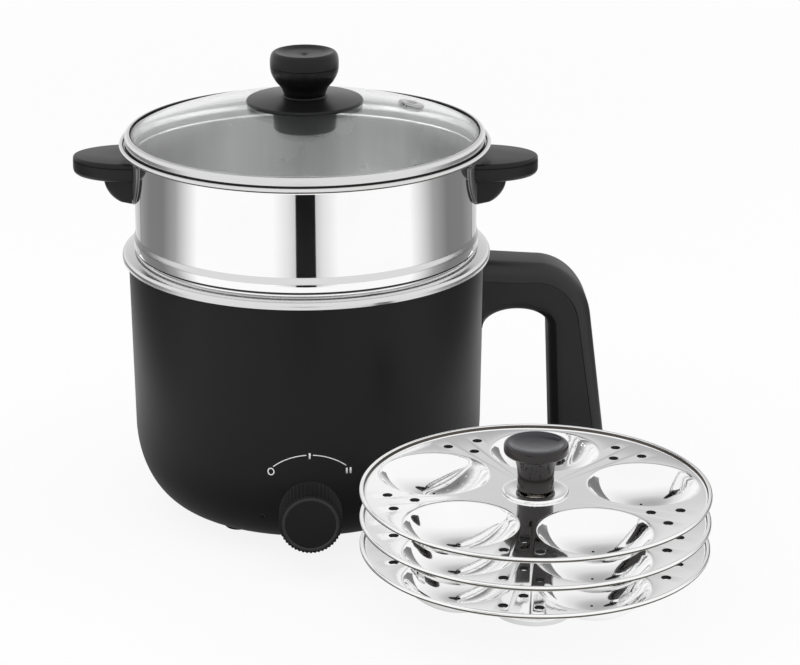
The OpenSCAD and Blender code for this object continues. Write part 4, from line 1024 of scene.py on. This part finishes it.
def vent_place():
    """Place of the vent on the glass and the direction square to it."""
    radius, angle = 51, math.radians(14)
    slope = (dome_z(radius + 0.1) - dome_z(radius - 0.1)) / 0.2
    out = Vector((math.cos(angle), math.sin(angle), 0))
    return out * radius + UP * dome_z(radius), (UP - out * slope).normalized()


class KETTLE_OT_lid_vent(bpy.types.Operator):
    """Steel eyelet around the vent in the glass"""

    bl_idname = "kettle.lid_vent"
    bl_label = "Lid vent"

    def execute(self, context):
        place, axis = vent_place()
        hole_r, stem_r, flange_r, under = 2.2, 3.2, 6.2, -size("glass_t") - 0.15
        vent = turned("vent_eyelet", (
            [(hole_r, under - 0.9), (5, under - 0.9), (5.5, under), (stem_r, under), (stem_r, 0.15)]
            + [(flange_r, 0.15)] + arc((flange_r - 0.8, 0.25), 0.8, 0.8, 0, 90, 5)
            + [(hole_r + 1.6, 1.05)] + arc((hole_r + 0.8, 0.25), 0.8, 0.8, 90, 180, 5)[:-1]
            + [(hole_r, 0.25)]),
            at=place, axis=axis, side=axis.orthogonal().normalized(), steps=56)
        fitted(vent, "lid", "vent_steel", "bright_steel", "lid_vent")
        return {"FINISHED"}


class KETTLE_OT_lid_knob(bpy.types.Operator):
    """Knob of the lid with the disc under it and the collar below the glass"""

    bl_idname = "kettle.lid_knob"
    bl_label = "Lid knob"

    def execute(self, context):
        base = low("lid_knob").z
        belly = spline([(9.5, 0), (10.1, 1.3), (10.9, 3.3), (13.4, 6.2), (15.3, 9.9), (15.8, 12.9)], 6)
        shoulder = [(15.5, 13.05), (15.5, 13.25), (15.8, 13.4)]
        crown = spline([(15.8, 13.4), (15.75, 16.2), (15.3, 18.2), (14.4, 19.4), (13.2, 19.79),
                        (12, 19.5), (9, 18.7), (4, 18.3)], 5)
        knob = turned(
            "lid_grip", [(0, 0)] + belly + shoulder + crown + [(1.2, 18.2), (0.6, 17.9), (0, 17.9)],
            at=(0, 0, base), steps=96, angle=35)
        fitted(knob, "lid", "knob_black", "knob_black", "lid_knob")
        disc_r, edge_low, hub_r, disc_top = 27, dome_z(27) + 0.5, 10.6, high("lid_disc").z
        under = [(r, dome_z(r) + 0.15) for r in (0, 6, 12, 18, 22, 25.5)]
        crest = edge_low + 1.8
        cone = spline([(disc_r - 1.4, crest + 0.05), (20, crest + 0.75), (14, disc_top - 0.95),
                       (hub_r + 0.5, disc_top - 0.6)], 5)
        disc = turned("lid_plate", (
            under + arc((disc_r - 0.7, edge_low + 0.7), 0.7, 0.7, -90, 0, 4)
            + arc((disc_r - 0.9, crest - 0.9), 0.9, 0.9, 0, 80, 5) + cone
            + arc((hub_r - 0.5, disc_top - 0.6), 0.6, 0.6, 0, 90, 4) + [(0, disc_top)]), steps=120)
        fitted(disc, "lid", "knob_black", "knob_black", "lid_disc")
        collar_low, collar_r = low("lid_collar").z, high("lid_collar").x
        collar_top = high("lid_collar").z
        collar = turned("lid_nut", (
            [(4.8, collar_low + 3), (4.8, collar_low)]
            + arc((collar_r - 1.5, collar_low + 1.5), 1.5, 1.5, -90, 0, 6)
            + [(collar_r, collar_top), (2.8, collar_top), (2.8, collar_low + 3)]), steps=96)
        # Painted reflection: the black collar is given a grey finish for the glare of the glass over it
        fitted(collar, "lid", "collar_grey", "knob_black", "lid_collar")
        return {"FINISHED"}


# Pieces of the idli stand

class KETTLE_OT_idli_plates(bpy.types.Operator):
    """Three steel plates with five dimples each, drain holes and rolled rims"""

    bl_idname = "kettle.idli_plates"
    bl_label = "Idli plates"

    def execute(self, context):
        nodes = ("idli_plate_bottom", "idli_plate_middle", "idli_plate_top")
        thick, dimple_r, depth = size("plate_t"), size("dimple_r"), size("dimple_depth")
        plate_r = high(nodes[0]).x - STAND.x
        bead_r, rim_h, post_r = 1, 2.2, 3.2
        flat_r = plate_r - 2 * bead_r
        flat = high(nodes[0]).z - rim_h
        bead_at = (plate_r - bead_r, flat + rim_h - bead_r)
        path = [(post_r, flat), (flat_r - 1, flat)] + arc((flat_r - 1, flat + 0.9), 0.9, 0.9, -60, -10, 4)
        plate = turned("idli_tray_low", (
            path + arc(bead_at, bead_r, bead_r, 190, -110, 18)
            + [(flat_r + 0.2, flat - 0.1), (flat_r - 0.4, flat - thick), (post_r, flat - thick)]), at=STAND)
        ball = (dimple_r ** 2 + depth ** 2) / (2 * depth)
        pitch, first, turn_step, fillet = flat_r - dimple_r - 1, 8, 72, 1.0
        bottom = flat - depth
        inner = self.bowl(flat, ball - thick, flat + ball - depth, fillet)
        outer = self.bowl(flat - thick / 2, ball, flat + ball - depth, 0)
        drain_r, pin_r, collar_h = 2.2, 0.65, 1.7
        bodies, hollows, holes, collars, drains, pins = [], [], [], [], [], []

        # Faces of the rolled rim that get painted shade: its inner side and its underside
        def in_rim_shade(centre, normal):
            out = (centre - STAND).xy
            outward = normal.xy.dot(out.normalized())
            return out.length > flat_r - 0.2 and (
                outward < -0.8 or (normal.z < 0.02 and out.length > flat_r + 0.9))

        def in_hole(centre, normal):
            return abs(normal.z) < 0.3 and (
                any((centre - place).xy.length < drain_r + 0.1 for place in drains)
                or any((centre - place).xy.length < pin_r + 0.1 for place in pins))

        for i in range(5):
            place = around_stand(pitch, first + i * turn_step)
            bodies.append(turned("body", outer, at=place, steps=72))
            hollows.append(turned("hollow", inner, at=place, steps=72))
            for quarter in range(4):
                a = quarter * math.pi / 2
                pin = place + Vector((math.cos(a), math.sin(a), 0)) * 5
                holes.append(rod(pin_r, pin + UP * (bottom - 2), pin + UP * (bottom + 3), 12))
                pins.append(pin)
            gap = first + (i + 0.5) * turn_step
            for out, aside in ((flat_r - 10.5, 7.5), (flat_r - 10.5, -7.5), (flat_r - 21, 0)):
                turn = gap + math.degrees(math.atan2(aside, out))
                place = around_stand(math.hypot(out, aside), turn, flat)
                holes.append(rod(drain_r, place - UP * 3, place + UP * 3, 24))
                collars.append(rod(drain_r + 0.5, place - UP * collar_h, place - UP * thick / 2, 24))
                drains.append(place)
        fused(plate, *bodies, joined(*collars))
        cut(plate, joined(*hollows), joined(*holes))
        names = ("idli_tray_low", "idli_tray_mid", "idli_tray_high")
        for name, node in zip(names, nodes):
            rise = low(node).z - low(nodes[0]).z
            tray = copied(plate, name, move=(0, 0, rise)) if rise > 1 else plate
            fitted(tray, "idli_stand", "plate_steel", "bright_steel", node)
            # Painted shade: the walls of the drain and pin holes are near black
            faced(tray, "hole_dark", in_hole)
            # Painted shade on the rolled rim's inner side and underside
            faced(tray, "rim_dark", in_rim_shade)
        return {"FINISHED"}

    def bowl(self, top, ball, centre, fillet):
        """Outline of a dimple up to a flat face, with a fillet where it opens."""
        brim = math.sqrt(ball ** 2 - (centre - top) ** 2)
        lean = math.asin(brim / ball)
        stop = lean - fillet / ball
        cap = [(ball * math.sin(stop * i / 14), centre - ball * math.cos(stop * i / 14)) for i in range(15)]
        if fillet == 0:
            return cap + [(0, top)]
        last = cap[-1]
        edge = spline([last, (brim + 0.15 * fillet, top - 0.22 * fillet), (brim + fillet, top - 0.04)], 4)[1:]
        return cap + edge + [(brim + fillet, top + 1), (0, top + 1)]


class KETTLE_OT_stand_frame(bpy.types.Operator):
    """Foot of the stand and the washer under its knob"""

    bl_idname = "kettle.stand_frame"
    bl_label = "Stand frame"

    def execute(self, context):
        base_r, base_h, bore = high("stand_base").x - STAND.x, high("stand_base").z, 3.15
        hub_r = 8.5
        foot = turned("stand_foot", (
            [(bore, 0), (base_r - 1.2, 0)] + arc((base_r - 1.2, 1.2), 1.2, 1.2, -90, 0, 5)
            + arc((base_r - 1, 2.6), 1, 1, 0, 75, 5)
            + spline([(base_r - 3, 3.9), (15, 4.8), (10.5, 6.4), (hub_r, base_h - 0.5)], 5)
            + [(hub_r - 0.5, base_h), (bore, base_h)]), at=STAND, steps=96)
        fitted(foot, "idli_stand", "plate_steel", "bright_steel", "stand_base")
        low_z, top, washer_r = low("stand_washer").z, high("stand_washer").z, high("stand_washer").x - STAND.x
        washer = turned("stand_ring", (
            [(bore, low_z), (washer_r, low_z)] + arc((washer_r - 0.9, top - 0.9), 0.9, 0.9, 0, 90, 5)
            + [(10.5, top), (9.5, top - 0.35), (bore, top - 0.35)]), at=STAND, steps=96)
        fitted(washer, "idli_stand", "plate_steel", "bright_steel", "stand_washer")
        return {"FINISHED"}


class KETTLE_OT_stand_knob(bpy.types.Operator):
    """Glossy mushroom knob of the stand"""

    bl_idname = "kettle.stand_knob"
    bl_label = "Stand knob"

    def execute(self, context):
        base, rise = low("stand_knob").z, high("stand_knob").z - low("stand_knob").z
        head_r, stem_r, head_t = high("stand_knob").x - STAND.x, 8, 5.6
        under = rise - head_t
        stem = spline([(stem_r + 0.1, 0.5), (stem_r - 0.1, 3), (stem_r, 8), (stem_r + 0.6, 12),
                       (stem_r + 1.8, under - 0.9)], 5)
        brim = spline([(stem_r + 2.4, under - 0.1), (head_r - 1.2, under + 0.3),
                       (head_r - 0.2, under + 1.2), (head_r, under + 2.2)], 5)
        crown = arc((head_r - 1.6, rise - 1.6), 1.6, 1.6, 0, 90, 7)
        dish = spline([(head_r - 2.4, rise - 0.12), (head_r - 5, rise - 1), (4, rise - 1.5),
                       (0, rise - 1.6)], 5)
        knob = turned("stand_grip", (
            [(6.3, 8.2), (6.3, 0), (stem_r - 0.4, 0)] + stem + brim + crown + dish + [(0, 8.2)]),
            at=STAND + UP * base, steps=96)
        fitted(knob, "stand_knob", "gloss_black", "stand_knob_black", "stand_knob")
        # Painted reflection: the dish of the glossy black knob is bluish grey for the sky that it mirrors
        faced(knob, "dish_grey", lambda c, n: n.z > 0.8 and c.z > base + rise - 2.5)
        return {"FINISHED"}


class KETTLE_OT_inner_parts(bpy.types.Operator):
    """Finishes of the pieces whose frame shapes are kept"""

    bl_idname = "kettle.inner_parts"
    bl_label = "Inner parts"

    def execute(self, context):
        dressed = {
            "base_black": ["base_cover"],
            "seal_rubber": ["rim_seal"],
            "cast_aluminium": ["heater_plate"],
            "element_steel": ["heating_element"],
            "cream_plastic": ["thermostat", "thermal_fuse", "indicator_lamp"],
            "switch_black": ["rotary_switch"],
            "lens_red": ["indicator_lens"],
            "inlet_black": ["power_inlet"],
            "brass": ["inlet_pins", "stand_knob_insert"],
            "wire_sleeve": ["wiring"],
            "bracket_steel": ["steamer_bracket_left", "steamer_bracket_right"],
            "screw_steel": ["switch_nut", "switch_shaft", "handle_screws", "lid_screw"],
            "plate_steel": ["stand_post", "stand_spacers"],
        }
        for finish_name, nodes in dressed.items():
            for node in nodes:
                for slot in frame["nodes"][node].material_slots:
                    slot.material = finish(finish_name)
        return {"FINISHED"}


# Stage

# Dim patch of the studio in reflections: its elevation behind the kettle, and the level by degrees from it
DIM_UP = 42
DIM_PATCH = ((90, 1), (42, 1), (33, 0.9), (23, 0.75), (14, 0.52), (8, 0.45), (0, 0.42))
# Plates that the plates under them don't mirror
UNMIRRORED = ("idli_tray_mid", "idli_tray_high")


def stepped(nodes, stops):
    """Ramp through grey levels, each at a position from 0 to 1. The first and last are at its ends."""
    ramp = nodes.new("ShaderNodeValToRGB")
    elements = ramp.color_ramp.elements
    for position, _ in stops[1:-1]:
        elements.new(position)
    for element, (_, level) in zip(elements, stops):
        element.color = (level, level, level, 1)
    return ramp


class KETTLE_OT_stage(bpy.types.Operator):
    """Pale floor, soft light, dark cards for the steel to mirror, and the camera"""

    bl_idname = "kettle.stage"
    bl_label = "Stage"

    def execute(self, context):
        self.world(context.scene)
        self.floor()
        self.lamp("top_light", (-0.25, -0.45, 1.45), (1.9, 1.9), 11)
        self.lamp("left_light", (-1.15, 0.0, 0.45), (1.5, 1.2), 7)
        self.lamp("right_light", (1.15, 0.0, 0.45), (1.5, 1.2), 7)
        front_stops = ((0, 0), (0.08, 0), (0.28, 0.22), (0.375, 0.4), (0.378, 1), (0.622, 1), (0.625, 0.4),
                       (0.72, 0.22), (0.92, 0), (1, 0))
        self.flag("front_flag", (-0.0032, -0.30, 0.0827), 0, (0.24, 0.042), front_stops)
        side_stops = ((0, 0), (0.1, 0.28), (0.22, 0.65), (0.37, 0.81), (0.6, 0.8), (1, 0.65))
        self.flag("left_flag", (-0.30, 0.10, 0.07), math.pi / 2, (0.44, 0.14), side_stops)
        self.flag("right_flag", (0.30, 0.09, 0.07), math.pi / 2, (0.47, 0.14), side_stops)
        back_stops = ((0, 0.55), (0.5, 0.3), (1, 0.05))
        self.flag("left_back_flag", (-0.187, 0.31, 0.07), 0, (0.234, 0.14), back_stops)
        self.flag("right_back_flag", (0.187, 0.31, 0.07), math.pi, (0.234, 0.14), back_stops)
        # The photographed plates mirror neither the kettle nor each other
        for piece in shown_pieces():
            if body_of(piece) in (["kettle"], ["control_knob"]) or piece.name in UNMIRRORED:
                piece.visible_glossy = False
        self.camera(context.scene)
        context.scene.view_settings.view_transform = "Standard"
        return {"FINISHED"}

    def plain_rays(self, nodes, links):
        """1 on rays from the camera, and on those mirrored by or passed through a piece."""
        path = nodes.new("ShaderNodeLightPath")
        total = nodes.new("ShaderNodeMath")
        total.operation = "MAXIMUM"
        links.new(path.outputs["Is Camera Ray"], total.inputs[0])
        links.new(path.outputs["Is Glossy Ray"], total.inputs[1])
        both = nodes.new("ShaderNodeMath")
        both.operation = "MAXIMUM"
        links.new(total.outputs[0], both.inputs[0])
        links.new(path.outputs["Is Transmission Ray"], both.inputs[1])
        return both.outputs[0]

    def world(self, scene):
        """White to the camera and through glass, a dim ceiling in reflections, soft light else."""
        world = bpy.data.worlds.new("studio")
        scene.world = world
        world.use_nodes = True
        nodes, links = world.node_tree.nodes, world.node_tree.links
        soft, white, studio = nodes["Background"], *[nodes.new("ShaderNodeBackground") for _ in range(2)]
        for background, strength in ((soft, 0.45), (white, 1), (studio, 1)):
            background.inputs["Color"].default_value = (1, 1, 1, 1)
            background.inputs["Strength"].default_value = strength
        toward = nodes.new("ShaderNodeVectorMath")
        toward.operation = "DOT_PRODUCT"
        toward.inputs[1].default_value = (0, math.cos(math.radians(DIM_UP)), math.sin(math.radians(DIM_UP)))
        links.new(nodes.new("ShaderNodeTexCoord").outputs["Generated"], toward.inputs[0])
        ramp = stepped(nodes, [(math.cos(math.radians(away)), level) for away, level in DIM_PATCH])
        links.new(toward.outputs["Value"], ramp.inputs["Fac"])
        links.new(ramp.outputs["Color"], studio.inputs["Color"])
        path = nodes.new("ShaderNodeLightPath")
        reflected, seen = [nodes.new("ShaderNodeMixShader") for _ in range(2)]

        def calculated(operation, a, b):
            node = nodes.new("ShaderNodeMath")
            node.operation = operation
            for source, socket in zip((a, b), node.inputs):
                if isinstance(source, (int, float)):
                    socket.default_value = source
                else:
                    links.new(source, socket)
            return node.outputs[0]

        passed, glossy = path.outputs["Is Transmission Ray"], path.outputs["Is Glossy Ray"]
        straight = calculated("LESS_THAN", path.outputs["Glossy Depth"], 0.5)
        links.new(calculated("MAXIMUM", glossy, passed), reflected.inputs["Fac"])
        links.new(soft.outputs[0], reflected.inputs[1])
        links.new(studio.outputs[0], reflected.inputs[2])
        straight_through = calculated("MULTIPLY", passed, straight)
        links.new(calculated("MAXIMUM", path.outputs["Is Camera Ray"], straight_through), seen.inputs["Fac"])
        links.new(reflected.outputs[0], seen.inputs[1])
        links.new(white.outputs[0], seen.inputs[2])
        links.new(seen.outputs[0], nodes["World Output"].inputs["Surface"])

    def flag(self, name, place, turn, extent, stops):
        """Card that only reflections show. Stops give how dense it is from its left to its right."""
        nothing_selected()
        bpy.ops.mesh.primitive_plane_add(size=1, location=place, rotation=(math.pi / 2, 0, turn))
        card = bpy.context.object
        card.name = name
        card.scale = (*extent, 1)
        material = bpy.data.materials.new(name)
        material.use_nodes = True
        nodes, links = material.node_tree.nodes, material.node_tree.links
        across = nodes.new("ShaderNodeSeparateXYZ")
        links.new(nodes.new("ShaderNodeTexCoord").outputs["Object"], across.inputs[0])
        ramp = stepped(nodes, stops)
        shift = nodes.new("ShaderNodeMath")
        shift.inputs[1].default_value = 0.5
        links.new(across.outputs["X"], shift.inputs[0])
        links.new(shift.outputs[0], ramp.inputs["Fac"])
        clear, dark = nodes.new("ShaderNodeBsdfTransparent"), nodes.new("ShaderNodeEmission")
        dark.inputs["Color"].default_value = (0.01, 0.01, 0.01, 1)
        mix = nodes.new("ShaderNodeMixShader")
        links.new(ramp.outputs["Color"], mix.inputs["Fac"])
        links.new(clear.outputs[0], mix.inputs[1])
        links.new(dark.outputs[0], mix.inputs[2])
        links.new(mix.outputs[0], nodes["Material Output"].inputs["Surface"])
        card.data.materials.append(material)
        card.visible_camera = card.visible_diffuse = card.visible_transmission = card.visible_shadow = False
        card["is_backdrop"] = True

    def floor(self):
        nothing_selected()
        bpy.ops.mesh.primitive_plane_add(size=8)
        floor = bpy.context.object
        floor.name = "floor"
        material = bpy.data.materials.new("pale_floor")
        material.use_nodes = True
        nodes, links = material.node_tree.nodes, material.node_tree.links
        matte = nodes["Principled BSDF"]
        matte.inputs["Base Color"].default_value = (*colour("floor"), 1)
        matte.inputs["Roughness"].default_value = 0.9
        matte.inputs["Specular IOR Level"].default_value = 0
        glow = nodes.new("ShaderNodeEmission")
        links.new(self.near_dimmed(nodes, links), glow.inputs["Strength"])
        share = nodes.new("ShaderNodeMath")
        share.operation = "MULTIPLY"
        links.new(self.plain_rays(nodes, links), share.inputs[0])
        links.new(self.by_distance(nodes, links, (0.45, 1.6), (0.87, 1)).outputs[0], share.inputs[1])
        mix = nodes.new("ShaderNodeMixShader")
        links.new(share.outputs[0], mix.inputs["Fac"])
        links.new(matte.outputs[0], mix.inputs[1])
        links.new(glow.outputs[0], mix.inputs[2])
        links.new(mix.outputs[0], nodes["Material Output"].inputs["Surface"])
        floor.data.materials.append(material)
        floor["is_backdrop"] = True

    def by_distance(self, nodes, links, reach, levels):
        """Level that changes evenly over a reach of distances from the kettle's axis, in metres."""
        away = nodes.new("ShaderNodeVectorMath")
        away.operation = "LENGTH"
        links.new(nodes.new("ShaderNodeTexCoord").outputs["Object"], away.inputs[0])
        level = nodes.new("ShaderNodeMapRange")
        for socket, value in zip(("From Min", "From Max", "To Min", "To Max"), (*reach, *levels)):
            level.inputs[socket].default_value = value
        links.new(away.outputs["Value"], level.inputs["Value"])
        return level

    def near_dimmed(self, nodes, links):
        """1, but falling towards the kettle's axis on mirrored rays, as its shadow does."""
        dim_r, full_r, dim = 0.10, 0.22, 0.25
        lowest = nodes.new("ShaderNodeMath")
        lowest.operation = "MULTIPLY_ADD"
        lowest.inputs[1].default_value = dim - 1
        lowest.inputs[2].default_value = 1
        links.new(nodes.new("ShaderNodeLightPath").outputs["Is Glossy Ray"], lowest.inputs[0])
        level = self.by_distance(nodes, links, (dim_r, full_r), (dim, 1))
        links.new(lowest.outputs[0], level.inputs["To Min"])
        return level.outputs["Result"]

    def lamp(self, name, place, extent, power):
        nothing_selected()
        bpy.ops.object.light_add(type="AREA", location=place)
        lamp = bpy.context.object
        lamp.name = name
        lamp.data.shape = "RECTANGLE"
        lamp.data.size, lamp.data.size_y = extent
        lamp.data.energy = power
        aim = Vector((0.03, -0.03, 0.09)) - Vector(place)
        lamp.rotation_euler = aim.to_track_quat("-Z", "Y").to_euler()
        lamp.visible_camera = lamp.visible_glossy = False

    def camera(self, scene):
        azimuth, elevation, distance = math.radians(-2.3), math.radians(19.217), 1.25
        target = Vector((0.04371, -0.00177, 0.0840))
        back = Vector((math.sin(azimuth) * math.cos(elevation), -math.cos(azimuth) * math.cos(elevation),
                       math.sin(elevation)))
        nothing_selected()
        bpy.ops.object.camera_add(
            location=target + back * distance, rotation=(-back).to_track_quat("-Z", "Y").to_euler())
        camera = bpy.context.object
        camera.data.sensor_fit = "HORIZONTAL"
        camera.data.sensor_width = 36
        camera.data.lens = 118.76
        camera.data.clip_start = 0.05
        scene.camera = camera


OPERATORS = (
    KETTLE_OT_shell, KETTLE_OT_feet, KETTLE_OT_pot, KETTLE_OT_handle, KETTLE_OT_dial,
    KETTLE_OT_control_knob, KETTLE_OT_screws, KETTLE_OT_steamer, KETTLE_OT_side_handles,
    KETTLE_OT_lid_glass, KETTLE_OT_lid_vent, KETTLE_OT_lid_knob, KETTLE_OT_idli_plates,
    KETTLE_OT_stand_frame, KETTLE_OT_stand_knob, KETTLE_OT_inner_parts, KETTLE_OT_stage,
)


class KETTLE_PT_pieces(bpy.types.Panel):
    """Sizes, colours and pieces of the kettle"""

    bl_idname = "KETTLE_PT_pieces"
    bl_label = "Multipurpose kettle"
    bl_space_type = "VIEW_3D"
    bl_region_type = "UI"
    bl_category = "Kettle"

    def draw(self, context):
        for group in (context.scene.kettle_sizes, context.scene.kettle_colours):
            for name in group.bl_rna.properties.keys()[2:]:
                self.layout.prop(group, name)
        for operator in OPERATORS:
            self.layout.operator(operator.bl_idname)


CLASSES = (KettleSizes, KettleColours, *OPERATORS, KETTLE_PT_pieces)


def register():
    for cls in CLASSES:
        bpy.utils.register_class(cls)
    bpy.types.Scene.kettle_sizes = bpy.props.PointerProperty(type=KettleSizes)
    bpy.types.Scene.kettle_colours = bpy.props.PointerProperty(type=KettleColours)


def unregister():
    del bpy.types.Scene.kettle_sizes
    del bpy.types.Scene.kettle_colours
    for cls in reversed(CLASSES):
        bpy.utils.unregister_class(cls)


def main():
    register()
    for operator in OPERATORS:
        getattr(bpy.ops.kettle, operator.bl_idname.split(".")[1])()


if __name__ == "__main__":
    main()
